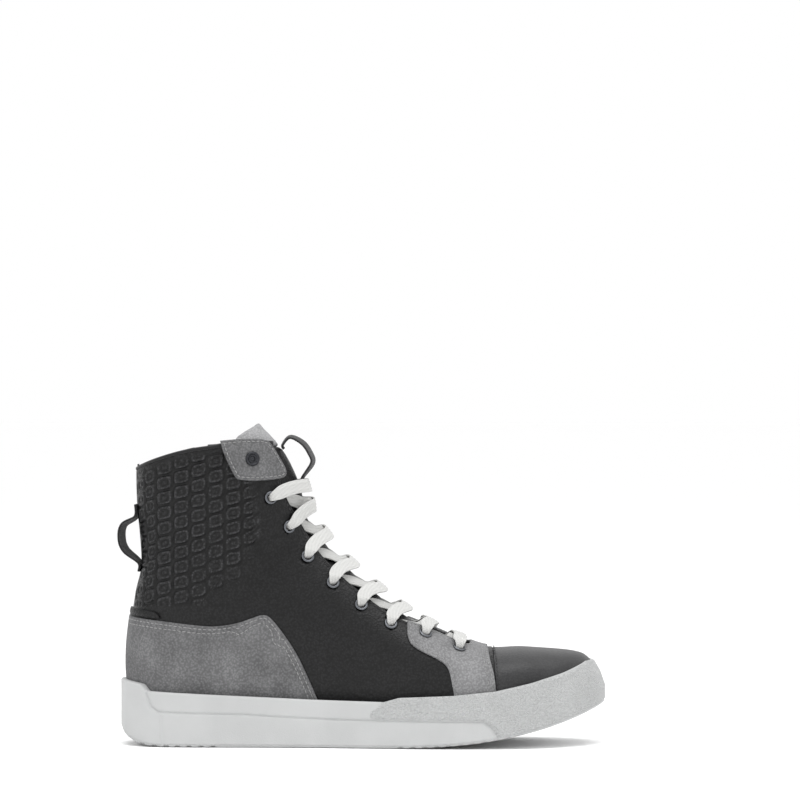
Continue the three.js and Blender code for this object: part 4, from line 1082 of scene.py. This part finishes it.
def turned_mesh(name, profile, segments=32):
    """A closed profile of (radius, height) turned about Z. A radius of nought closes on the axis."""
    points, faces, rings = [], [], []
    for radius, height in profile:
        if radius == 0:
            rings.append([len(points)])
            points.append((0, 0, height))
            continue
        rings.append(list(range(len(points), len(points) + segments)))
        for k in range(segments):
            a = 2 * math.pi * k / segments
            points.append((radius * math.cos(a), radius * math.sin(a), height))
    closed = profile[0][0] != 0
    for i in range(len(rings) if closed else len(rings) - 1):
        a, b = rings[i], rings[(i + 1) % len(rings)]
        for k in range(segments):
            m = (k + 1) % segments
            quad = [a[k % len(a)], a[m % len(a)], b[m % len(b)], b[k % len(b)]]
            faces.append(list(dict.fromkeys(quad)))
    mesh = bpy.data.meshes.new(name)
    mesh.from_pydata([tuple(c * MM for c in p) for p in points], [], [f for f in faces if len(f) > 2])
    mesh.update()
    return mesh


def fitting_group():
    """One fitting set on each point, facing the way the point does."""
    group, given, result = node_group("set fittings", [
        ("Fitting", "NodeSocketObject", None), ("Finish", "NodeSocketMaterial", None),
    ])
    facing = join_up(group, "GeometryNodeInputNamedAttribute", {"Name": "facing"}, data_type="FLOAT_VECTOR")[0]
    turn = join_up(group, "FunctionNodeAlignRotationToVector", {"Vector": facing}, axis="Z")[0]
    piece = join_up(group, "GeometryNodeObjectInfo", {"Object": given["Fitting"]})["Geometry"]
    spots = join_up(group, "GeometryNodeInstanceOnPoints", {
        "Points": join_up(group, "GeometryNodeMeshToPoints", {"Mesh": given["Geometry"]})[0],
        "Instance": piece, "Rotation": turn,
    })[0]
    finish_group(group, spots, given["Finish"], result)
    return group


set_fittings = fitting_group()


def fit(name, seats, profile, replaced, finish=gunmetal):
    """One turned profile set at each seat."""
    source = bpy.data.objects.new(name + "_source", turned_mesh(name + "_source", profile))
    scene.collection.objects.link(source)
    places, normals = zip(*seats)
    made = grown(name, places, [], set_fittings, {"Fitting": source, "Finish": finish}, facing=normals)
    bpy.data.objects.remove(source)
    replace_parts(made, *replaced)


HOLE, FLANGE = 2.5, 4.0
roll = [(3.25 + 0.75 * math.cos(a), 0.25 + 0.6 * math.sin(a)) for a in np.linspace(0, math.pi, 9)]
eyelet_profile = [(HOLE, -2.4), (HOLE + 0.35, -2.4), (HOLE + 0.35, 0.1), (FLANGE - 0.1, 0.05), *roll]
for name, rows, depth in (("rolled_eyelets_upper", range(6), 0.15), ("rolled_eyelets_throat", (6, 7), 1.85)):
    sides = [(outer, k) for outer in (True, False) for k in rows]
    fit(name, [seat(*EYELETS[k], outer, depth) for outer, k in sides], eyelet_profile,
        [f"eyelet_{'outer' if outer else 'inner'}_{k + 1}" for outer, k in sides])
cap = [(0, 1.2), (0.7, 1.15), (1.3, 0.9), (1.5, 0.4), (2.5, 0.35), (2.8, 0.8), (3.2, 1.4), (3.7, 1.5),
       (4.2, 1.25), (4.5, 0.7), (4.5, 0.1), (4.3, 0), (0, 0)]
black_metal = brushed_metal("black oxide steel", "#3c3d40", 0.36)
fit("outer_snap_cap", [seat(-68.4, 176.4, True, 1.75)], cap, ["outer_snap"], black_metal)
fit("strap_snap_cap", [seat(-69, 166, False, 2.35)], cap, ["strap_snap"], black_metal)

# ---- Laces ----
# One flat woven cotton lace, 8 mm wide with lengthwise ribs, crossed seven times below a bar:
# out of an eyelet, over the tongue and under the other flap. The outer strands lie on top.

cotton = woven("white woven cotton", "#bcbcba", 0.85, 1.0, 0.16, "UV", 0.9)
LACE_WIDTH, LACE_THICK, LACE_IN_HOLE = 8.4, 1.7, 4.6
LACE_RIBS, LACE_RIB_DEPTH = 4, 0.3
STRAND_STATIONS = 90
UNDER = -3.5  # depth of the lace below a flap's face
OVER_OUTER, OVER_INNER, OVER_BAR = 2.5, 0.4, 1.6  # heights at which strands cross the tongue
TOP_SAG, LOW_SAG, BAR_SAG = -1.1, -0.3, -0.8  # how far a strand bows towards the toe


def relaxed(line, times):
    """A line with its bends eased and its ends kept."""
    for _ in range(times):
        line[1:-1] = (line[:-2] + 2 * line[1:-1] + line[2:]) / 4
    return line


def strand(name, low, high, outer, crest, sag):
    """One crossing: out of eyelet low on one side, over the tongue and under the flap to
    eyelet high on the other. Equal numbers make the bar that lies on top of both flaps."""
    start, = locate(EYELETS[low:low + 1], outer)
    end, = locate(EYELETS[high:high + 1], not outer)
    end = end + [0, 2 * math.pi if outer else -2 * math.pi]
    face = (2.3 if low > 5 else 0) + 1.0
    top = face + 1.05
    narrow = LACE_WIDTH * 0.8
    rows = [
        (0, UNDER - 0.2, LACE_IN_HOLE), (0.003, face - 0.8, LACE_IN_HOLE), (0.035, top + 0.7, narrow),
        (0.07, top + 0.6, 0.97 * LACE_WIDTH), (0.15, top + 0.3, LACE_WIDTH),
        (0.34, (crest + top) / 2, LACE_WIDTH),
    ]
    middle = [(0.43, crest, LACE_WIDTH), (0.5, crest, LACE_WIDTH)]
    if low == high:
        tail = [(1 - share, depth, width) for share, depth, width in rows[::-1]]
    else:
        tail = [(0.55, crest / 3, LACE_WIDTH), (0.6, UNDER + 0.6, LACE_WIDTH), (0.68, UNDER, LACE_WIDTH),
                (0.85, UNDER, narrow), (1, UNDER, LACE_IN_HOLE)]
    rows = np.array(rows + middle + tail)
    share, depth, width = spline(rows, np.linspace(0, len(rows) - 1, STRAND_STATIONS)).T
    t = start[0] + (end[0] - start[0]) * share + sag * np.sin(math.pi * share) ** 2
    phi = start[1] + (end[1] - start[1]) * share
    normal = skin_normal(t, phi)
    centres = bare_skin(t, phi) + normal * depth[:, None]
    centres = relaxed(centres, 4)
    chord = bare_skin(end[:1], end[1:]) - bare_skin(start[:1], start[1:])
    across = np.cross(normal, chord / np.linalg.norm(chord))
    ribbed = flat_profile(LACE_WIDTH, LACE_THICK, LACE_RIBS, LACE_RIB_DEPTH)
    profiles = ribbed[None] * np.stack([width / LACE_WIDTH, (LACE_WIDTH / width) ** 0.35], 1)[:, None]
    made = sweep(name, centres, across, profiles, cotton)
    return made


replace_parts(strand("lace_bar", 0, 0, True, OVER_BAR, BAR_SAG), "lace")
for k in range(7, 0, -1):
    sag = TOP_SAG + (LOW_SAG - TOP_SAG) * (k - 1) / 6
    strand(f"lace_outer_{k}", k, k - 1, True, OVER_OUTER, sag)
    strand(f"lace_inner_{k}", k, k - 1, False, OVER_INNER, sag)

# ---- Collar binding, lining and gusset ----
# A folded textile binding closes the collar's edge over the padding. The lining is one
# brushed knit sock, with an elastic gusset behind the zip.

brushed_knit = woven("charcoal brushed knit", "#272728", 0.92, 0.8, 0.2)


def binding(name, node, *runs):
    """Binding along (side-view line, outer side) runs, narrower ahead of the padding."""
    spots = np.concatenate([trace(line, outer) for line, outer in runs])
    normal = skin_normal(*spots.T)
    base = skin(*spots.T, 0)
    base = relaxed(base, 6)
    depth = np.interp(base[:, 0], [-84, -74], [6.7, 2.5])
    turn = np.linspace(0, 2 * math.pi, 20, endpoint=False)
    c, s = np.cos(turn), np.sin(turn)
    shape = np.stack([np.sign(c) * np.abs(c) ** 0.6 / 2, np.sign(s) * np.abs(s) ** 0.7 * 1.25], 1)
    level = normal * [1, 1, 0]
    level /= np.linalg.norm(level, axis=1, keepdims=True)
    centres = base - level * (depth / 2 - 0.45)[:, None] + np.array([0, 0, 0.7])
    profiles = np.tile(shape, (len(base), 1, 1)) * np.stack([depth + 0.3, np.ones(len(base))], 1)[:, None]
    made = sweep(name, centres, level, profiles, black_nylon)
    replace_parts(made, node)


inner_line = [p for p in collar_line if p[0] < -104] + beside_zip((0.4, -SLOT))
binding("collar_binding_tape", "collar_binding", (collar_line[::-1], True), (inner_line, False))
front_line = beside_zip((0.4, SLOT)) + [p for p in collar_line if p[0] > -96]
binding("collar_binding_tape_front", "collar_binding_front", (front_line, False))


LINING_FACE, LINING_BACK = -4.2, -6.2  # depths of the lining's two sides
GUSSET_HALF = 14  # half the gusset's width; the lining stops a millimetre short of it


def sock():
    """The lining as one sleeve from the toe to the collar, open at the throat and behind the zip."""
    phi = np.linspace(-math.pi, math.pi, 145)[:-1]
    collar = trace(collar_line, smooth=False)
    top = np.interp(np.abs(phi), collar[:, 1], collar[:, 0])
    u = np.linspace(0, 1, 110)[:, None]
    t = 0.15 + u * (top[None] - 0.05 - 0.15)
    spots = np.stack([t.ravel(), np.tile(phi, len(u))], 1)
    place = bare_skin(*spots.T)
    throat = [tuple(p) for p in beside_eyelets(-14.5)[:7]]
    front = np.array([(-78, 210), (-78, 186), *throat, (62, 51), (78, 56), (80, 62), (90, 62), (90, 250)])
    open_throat = inside(place[:, [0, 2]], front)
    along, side = (place[:, [0, 2]] - ZIP_TOP) @ zip_run, (place[:, [0, 2]] - ZIP_TOP) @ zip_side
    behind_zip = (place[:, 1] > 0) & (np.abs(side) < GUSSET_HALF - 1) & (along < ZIP_LENGTH + 6)
    gone = open_throat | behind_zip
    n, count = len(phi), len(spots)
    outside, within = skin(*spots.T, LINING_FACE), skin(*spots.T, LINING_BACK)
    faces = []
    for i in range(len(u) - 1):
        for j in range(n):
            k = (j + 1) % n
            quad = (i * n + j, i * n + k, (i + 1) * n + k, (i + 1) * n + j)
            if not any(gone[list(quad)]):
                faces.append(quad)
    sides = {(f[k], f[(k + 1) % 4]) for f in faces for k in range(4)}
    walls = [(j, i, i + count, j + count) for i, j in sides if (j, i) not in sides]
    all_faces = faces + [tuple(v + count for v in f[::-1]) for f in faces] + walls
    used = sorted({v for f in all_faces for v in f})
    renumber = {v: k for k, v in enumerate(used)}
    points = np.concatenate([outside, within])[used]
    return make_object("knit_lining", points, [[renumber[v] for v in f] for f in all_faces], brushed_knit)


lining = sock()
gusset, _ = panel(
    "elastic_gusset",
    [
        (trace(beside_zip(*((1 + (ZIP_LENGTH + 6) * down, GUSSET_HALF * side)
                            for down, side in ((0, -1), (1, -1), (1, 1), (0, 1), (0, -1)))), False, smooth=False), []),
    ],
    black_nylon, -6.4, -4.1,
)
for piece, node, slot in ((lining, "lining", "lining_textile"), (gusset, "zip_gusset", "zip_textile")):
    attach(piece, "boot")
    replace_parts(piece, node)
dress(brushed_knit, "footbed", "collar_padding")
dress(black_nylon, "zip_tape_front", "zip_tape_rear")

# ---- Zip ----
# A nylon coil zip: two rows of interlocked coil elements on woven tapes, closed at the
# bottom by a steel stop, with a die-cast slider and a plain bar pull.


CHAIN_DEPTH = 1.9  # how far the coil lies below the leather's face


def chain_at(along):
    """The middle of the coil a distance down the zip."""
    spot = locate(beside_zip((along, 0)), False)
    return bare_skin(*spot.T)[0] - CHAIN_DEPTH * skin_normal(*spot.T)[0]


chain_top, chain_end = chain_at(5), chain_at(ZIP_LENGTH - 4)
chain_run = (chain_end - chain_top) / np.linalg.norm(chain_end - chain_top)
chain_length = float(np.linalg.norm(chain_end - chain_top))
middle_spot = locate(beside_zip((ZIP_LENGTH / 2, 0)), False)
chain_out = skin_normal(*middle_spot.T)[0]
chain_out -= chain_run * (chain_run @ chain_out)
chain_out /= np.linalg.norm(chain_out)
chain_side = np.cross(chain_run, chain_out)


def on_chain(along, side, out):
    """A point measured down the coil, to its side and out of it."""
    return chain_top + chain_run * along + chain_side * side + chain_out * out


coil_nylon = woven("black nylon coil", "#1f1f20", 0.45, 0.5, 0.05)


def coil_group():
    """The coil's elements, side by side along a line and facing out of the zip."""
    group, given, result = node_group("zip coil", [
        ("Pitch", "NodeSocketFloat", 0.0015), ("Element", "NodeSocketVector", (0.0006, 0.0015, 0.0008)),
        ("Facing", "NodeSocketVector", (0.0, 1.0, 0.0)), ("Finish", "NodeSocketMaterial", None),
    ])
    path = join_up(group, "GeometryNodeMeshToCurve", {"Mesh": given["Geometry"]})[0]
    spots = join_up(group, "GeometryNodeCurveToPoints", {"Curve": path, "Length": given["Pitch"]},
                    mode="LENGTH")
    first = join_up(group, "FunctionNodeAlignRotationToVector", {"Vector": given["Facing"]}, axis="Z")[0]
    turn = join_up(group, "FunctionNodeAlignRotationToVector", {"Rotation": first, "Vector": spots["Tangent"]},
                   axis="X", pivot_axis="Z")[0]
    bead = join_up(group, "GeometryNodeMeshUVSphere", {"Segments": 8, "Rings": 6, "Radius": 1.0})[0]
    row = join_up(group, "GeometryNodeInstanceOnPoints", {
        "Points": spots["Points"], "Instance": bead, "Rotation": turn, "Scale": given["Element"],
    })[0]
    finish_group(group, row, given["Finish"], result)
    return group


coil_points = [on_chain(along + shift, side, 0) for side, shift in ((-1.15, 0.4), (1.15, 1.15))
               for along in (0.3, chain_length - 3.3)]
coil = grown("zip_coil", coil_points, [(0, 1), (2, 3)], coil_group(),
             {"Facing": Vector(chain_out), "Finish": coil_nylon})
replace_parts(coil, "zip_chain")


def bar(stations, sides=24):
    """A closed solid lofted along the chain: each station is (along, half width, low, high)."""
    turn = np.linspace(0, 2 * math.pi, sides, endpoint=False)
    c, s = np.cos(turn), np.sin(turn)
    points = []
    for along, half, low, high in stations:
        across, rise = np.sign(c) * np.abs(c) ** 0.4 * half, np.sign(s) * np.abs(s) ** 0.4 * (high - low) / 2
        points += [on_chain(along, x, (low + high) / 2 + z) for x, z in zip(across, rise)]
    return points, loft_faces(len(stations), sides)


def merged(name, solids, material, body):
    """Several solids as one piece on a body."""
    points, faces = [], []
    for some_points, some_faces in solids:
        faces += [tuple(v + len(points) for v in f) for f in some_faces]
        points += list(some_points)
    made = make_object(name, np.array(points), faces, material)
    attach(made, body)
    return made


stop = merged("zip_stop", [bar([
    (chain_length + along, half, -tall, tall)
    for along, half, tall in ((-1.9, 2.2, 0.6), (-1.7, 2.5, 0.9), (-0.2, 2.5, 0.9), (0, 2.2, 0.6))
])], gunmetal, "boot")
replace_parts(stop, "zip_bottom_stop")

SLIDER, PULL = 11.0, 17.0
at = SLIDER / 2 + 0.07 * ZIP_LENGTH
plate = [(at + along, half, low, 3.2 - low) for along, half, low in (
    (-5.5, 2.6, 1.3), (-5.2, 3.2, 1.2), (-1.5, 3.9, 1.2), (2, 3.7, 1.2), (5.2, 2.7, 1.2), (5.5, 2.2, 1.3),
)]
bridge = [(at + along, half, 1.9, high) for along, half, high in (
    (-2.6, 0.9, 2.2), (-2.2, 1.0, 2.6), (2.2, 1.0, 2.6), (2.6, 0.9, 2.2),
)]
slider = merged("zip_slider_body", [bar(plate), bar(bridge)], gunmetal, "slider")
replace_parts(slider, "zip_slider")
middle_of_pull = at + PULL / 2 - 1
pull_rows = [(-8.5, 1.2), (-8.3, 1.7), (-6, 2.25), (5.5, 2.25), (7.4, 2.0), (8.3, 1.4), (8.5, 1.0)]
pull = merged("zip_pull_bar", [bar([
    (middle_of_pull + along, half, 3.0 + 0.1 * (half < 2), 4.0 - 0.1 * (half < 2))
    for along, half in pull_rows
])], gunmetal, "slider")
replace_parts(pull, "zip_pull")

# ---- Rubber cup sole ----
# A moulded white cup sewn and cemented to the upper, with a foxing line round it, a raised
# heel guard and a bumper at the toe whose face is stippled like orange peel.

OUTER_HALF = np.array([0, -21, -34, -38.5, -39.5, -41.5, -47, -53, -54.5, -49, -34.5, -14, 7.0])
INNER_HALF = np.array([0, 21, 34, 37.5, 36.5, 37, 43, 50.5, 52.5, 47.5, 39.5, 26, 7.0])
SOLE_TOP = np.array([
    (-150, 40.5), (-137, 38.2), (-133.6, 34.1), (-81, 31.6), (-32, 29.4), (12.3, 28.3), (21.6, 31), (54.5, 32.4),
    (81, 35.1), (104, 39.9), (124.4, 45.4), (142.9, 51.6),
])
TOE_START = 115  # from here the wall leans in over the toe
TOE_SLOPE = ((36, 44.4, 51.6), (0, 3, 7.1))  # heights, and how far the toe's face leans in there
GROOVE = np.array([
    (-134.5, 38), (-134.5, 34.7), (-130, 24.7), (-125.8, 21.6), (-107.5, 20.8), (-72.7, 20.2), (-46.6, 18.6),
    (-14.6, 17.3), (73.2, 16.6), (78.9, 12.8), (83.5, 4.8), (84, 0),
])
BUMPER = np.array([
    (3.9, 21.5), (12.4, 28.3), (14, 60), (200, 70), (200, -20), (84.5, -20), (83.5, 4.8), (78.9, 12.8), (73.2, 17.2),
    (4.5, 17.9),
])
TREAD = 4.0  # thickness of the outsole
RIM = 1.2  # radius of the rounded top of the wall


def sole_bottom(x):
    """The height of the sole's underside: worn round at the heel and sprung up at the toe."""
    heel = 10.4 * np.maximum((-100 - x) / 50, 0) ** 6
    return heel + 26 * np.maximum((x - 10) / 140, 0) ** 2.4


def sole_top(x):
    return np.interp(x, *SOLE_TOP.T)


def perimeter(step):
    """The sole's outline as evenly spaced points with the outward direction at each."""
    theta = np.linspace(0, math.pi, 721)
    x = -150 * np.cos(theta)
    outer = np.stack([x, spline(OUTER_HALF, theta * 12 / math.pi)], 1)
    inner = np.stack([x, spline(INNER_HALF, theta * 12 / math.pi)], 1)
    line = np.concatenate([outer, inner[::-1][1:]])
    run = np.concatenate([[0], np.cumsum(np.linalg.norm(np.diff(line, axis=0), axis=1))])
    even = np.linspace(0, run[-1], int(run[-1] / step), endpoint=False)
    line = np.stack([np.interp(even, run, line[:, k]) for k in range(2)], 1)
    ahead = np.roll(line, -4, 0) - np.roll(line, 4, 0)
    outward = np.stack([ahead[:, 1], -ahead[:, 0]], 1)
    return line, outward / np.linalg.norm(outward, axis=1, keepdims=True)


def segment_distance(points, line):
    """The distance from side-view points to a polyline."""
    best = np.full(len(points), 1e9)
    for a, b in zip(line[:-1], line[1:]):
        run = b - a
        share = np.clip((points - a) @ run / (run @ run), 0, 1)
        best = np.minimum(best, np.linalg.norm(points - a - share[:, None] * run, axis=1))
    return best


def wall_relief(points):
    """How far the cup's wall stands out at side-view points."""
    groove = segment_distance(points, GROOVE)
    edge = segment_distance(points, np.concatenate([BUMPER, BUMPER[:1]]))
    in_bumper = inside(points, BUMPER)
    guard_edge = np.interp(points[:, 1], [20, 24.7, 34.7, 40], [-124, -130, -134.5, -136])
    guard = (points[:, 0] < guard_edge) * np.clip(groove / 1.2, 0, 1)
    bumper = in_bumper * np.clip(edge / 1.0, 0, 1) ** 0.5
    return -0.9 * np.exp(-((groove / 0.6) ** 2)) + 0.7 * bumper + 0.7 * guard, in_bumper


def ring_object(name, line, heights, offsets, materials, outward, stripe):
    """A closed band round the sole: at each station a closed profile of offsets and heights.
    Where the stripe is 1 it takes the second material."""
    stations, sides = heights.shape
    place = line[:, None] + outward[:, None] * offsets[..., None]
    points = np.concatenate([place, heights[..., None]], 2).reshape(-1, 3)
    faces = []
    for i in range(stations):
        m = (i + 1) % stations
        for j in range(sides):
            k = (j + 1) % sides
            faces.append((i * sides + j, m * sides + j, m * sides + k, i * sides + k))
    made = make_object(name, points, faces, materials[0])
    made.data.materials.append(materials[1])
    flags = stripe.reshape(-1)
    for polygon in made.data.polygons:
        polygon.material_index = int(flags[list(polygon.vertices)].mean() > 0.5)
    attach(made, "boot")
    return made


def rubber(name, colour, roughness, grain, depth):
    """Moulded rubber: a matt, stippled face with faint scuffs and a little grime in random patches."""
    material, shader = new_material(name, colour, roughness)
    place = add_node(material, "TexCoord").outputs["Object"]
    stipple = add_node(material, "TexVoronoi", [(place, "Vector")], Scale=1 / (grain * MM))
    stipple = stipple.outputs["Distance"]
    fine = add_node(material, "TexNoise", [(place, "Vector")], Scale=1 / (0.5 * grain * MM), Detail=3.0)
    grime = add_node(material, "TexNoise", [(place, "Vector")], Scale=38.0, Detail=6.0).outputs["Fac"]
    height = add_node(material, "Math", [(stipple, 0), (fine.outputs["Fac"], 2)], operation="MULTIPLY_ADD")
    height.inputs[1].default_value = 1.2
    bump = add_node(material, "Bump", [(height.outputs[0], "Height")], Distance=depth * MM, Strength=0.8)
    ramp = add_node(material, "ValToRGB", [(grime, "Fac")])
    for stop, place_on, share in zip(ramp.color_ramp.elements, (0.3, 0.62), (0.93, 1.0)):
        stop.position = place_on
        stop.color = [c * share for c in linear(colour)[:3]] + [1]
    # Painted shade: the colour is darkened between the stipple's cells, more for a deeper stipple.
    stipple_shade = add_node(material, "MapRange", [(stipple, "Value")],
                    From_Min=0.3, From_Max=0.8, To_Min=1.0, To_Max=1.0 - 0.12 * depth)
    shade = add_node(material, "VectorMath", [(ramp.outputs["Color"], 0), (stipple_shade.outputs["Result"], 1)],
                     operation="MULTIPLY")
    scuff = add_node(material, "MapRange", [(grime, "Value")],
                     To_Min=roughness - 0.12, To_Max=roughness + 0.12)
    plug(material, shader, Base_Color=shade.outputs["Vector"], Roughness=scuff.outputs["Result"],
         Normal=bump.outputs["Normal"])
    return material


white_rubber = rubber("matt white rubber", "#b1b2b2", 0.6, 0.7, 0.05)
stippled_rubber = rubber("stippled white rubber", "#b1b2b2", 0.6, 1.3, 0.9)


def cup():
    """The cup's wall, its rounded rim and the inside ledge, as one ring round the foot."""
    line, outward = perimeter(1.0)
    x = line[:, :1]
    low, high = sole_bottom(x) + 1.7, sole_top(x)
    v = np.linspace(0, 1, 64)
    wall_z = low + v * (high - low - RIM)
    side_view = np.stack([np.repeat(x, len(v), 1).ravel(), wall_z.ravel()], 1)
    relief, in_bumper = wall_relief(side_view)
    relief = relief.reshape(wall_z.shape) - 0.5
    proud = relief[:, -1:]
    turn = np.linspace(0, math.pi / 2, 6)[1:]
    round_z = high - RIM + RIM * np.sin(turn)
    round_d = proud - RIM + RIM * np.cos(turn)
    inner_d = np.array([-5.0, -9.0, -13.0, -14.0, -14.0])
    inner_z = np.concatenate([high - 0.2, high - 0.8, high - 2.0, high - 4.0, low], 1)
    offsets = np.concatenate([relief, round_d, np.repeat(inner_d[None], len(line), 0)], 1)
    heights = np.concatenate([wall_z, round_z, inner_z], 1)
    forward = np.clip(outward[:, :1], 0, 1) ** 2 * np.clip((x - TOE_START) / 20, 0, 1)
    lean = np.interp(heights, *TOE_SLOPE) * forward
    lean[:, len(v) + 5:] = lean[:, len(v) + 4:len(v) + 5]
    offsets -= lean
    stripe = np.zeros(heights.shape)
    stripe[:, :len(v)] = in_bumper.reshape(wall_z.shape)
    stripe[:, len(v):len(v) + 5] = stripe[:, len(v) - 1:len(v)]
    finishes = [white_rubber, stippled_rubber]
    return ring_object("cup_sole_rubber", line, heights, offsets, finishes, outward, stripe)


cup_sole = cup()
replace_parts(cup_sole, "cup_sole", "toe_bumper")

# ---- Outsole ----
# The tread, moulded in the same white rubber: shallow chevrons across the foot and small
# lugs notched into the edge at the heel and the ball.


LUG_PITCH, CHEVRON_PITCH = 7.2, 7.5


def outsole():
    """The tread from heel to toe, one closed cross-section at a time."""
    theta = np.pi * np.linspace(0.03, 0.972, 420)
    across = np.linspace(0, 1, 90)
    rings = []
    for turn in theta:
        x = -150 * math.cos(turn)
        knot = np.array([turn * 12 / math.pi])
        a, b = float(spline(OUTER_HALF, knot)[0]) + 1.0, float(spline(INNER_HALF, knot)[0]) - 1.0
        low = float(sole_bottom(np.array([x]))[0])
        y = a + (b - a) * across
        rim = np.minimum(y - a, b - y)
        lugged = 1.0 if x < -88 or 18 < x < 96 else 0.0
        notch = 0.8 * lugged * (0.5 + 0.5 * math.tanh(9 * (math.sin(2 * math.pi * x / LUG_PITCH) - 0.25)))
        chevron = np.sin(2 * math.pi * (x + np.abs(y - 2) * 0.7) / CHEVRON_PITCH)
        tread = 1.3 * np.clip(0.5 + 3 * (chevron - 0.35), 0, 1) * np.clip((rim - 4) / 1.5, 0, 1)
        edge = 0.8 * (1 - np.sqrt(np.maximum(1 - np.clip(1 - rim / 0.9, 0, 1) ** 2, 0)))
        bottom = np.stack([np.full(90, x), y, low + tread + edge + notch * np.clip((2.2 - rim) / 0.6, 0, 1)], 1)
        rise = np.linspace(0.35, 1, 5)
        right = np.stack([np.full(5, x), np.full(5, b), low + rise * TREAD], 1)
        top = np.stack([np.full(8, x), np.linspace(b - 0.4, a + 0.4, 8), np.full(8, low + TREAD)], 1)
        left = np.stack([np.full(5, x), np.full(5, a), low + rise[::-1] * TREAD], 1)
        right[0, 2] = max(right[0, 2], low + 0.9 + notch)
        left[-1, 2] = max(left[-1, 2], low + 0.9 + notch)
        rings.append(np.concatenate([bottom, right, top, left]))
    *walls, heel, toe = loft_faces(len(rings), len(rings[0]))
    faces = [wall[:1] + wall[:0:-1] for wall in walls] + [heel[::-1], toe[::-1]]
    return make_object("outsole_rubber", np.concatenate(rings), faces, white_rubber)


tread = outsole()
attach(tread, "boot")
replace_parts(tread, "outsole")

# ---- Hidden layers ----
# Cut foam, pressed fibre board and a stamped steel shank, cemented inside the boot and seen
# only when it is taken apart.

foam = rubber("grey expanded foam", "#9a9a98", 0.85, 0.8, 0.3)
fibre_board = woven("buff fibre board", "#8d8577", 0.9, 0.6, 0.1)
dress(foam, "foam_core", "ankle_cup_outer", "ankle_cup_inner")
dress(fibre_board, "insole_board", "toe_puff", "heel_stiffener")
dress(gunmetal, "shank")
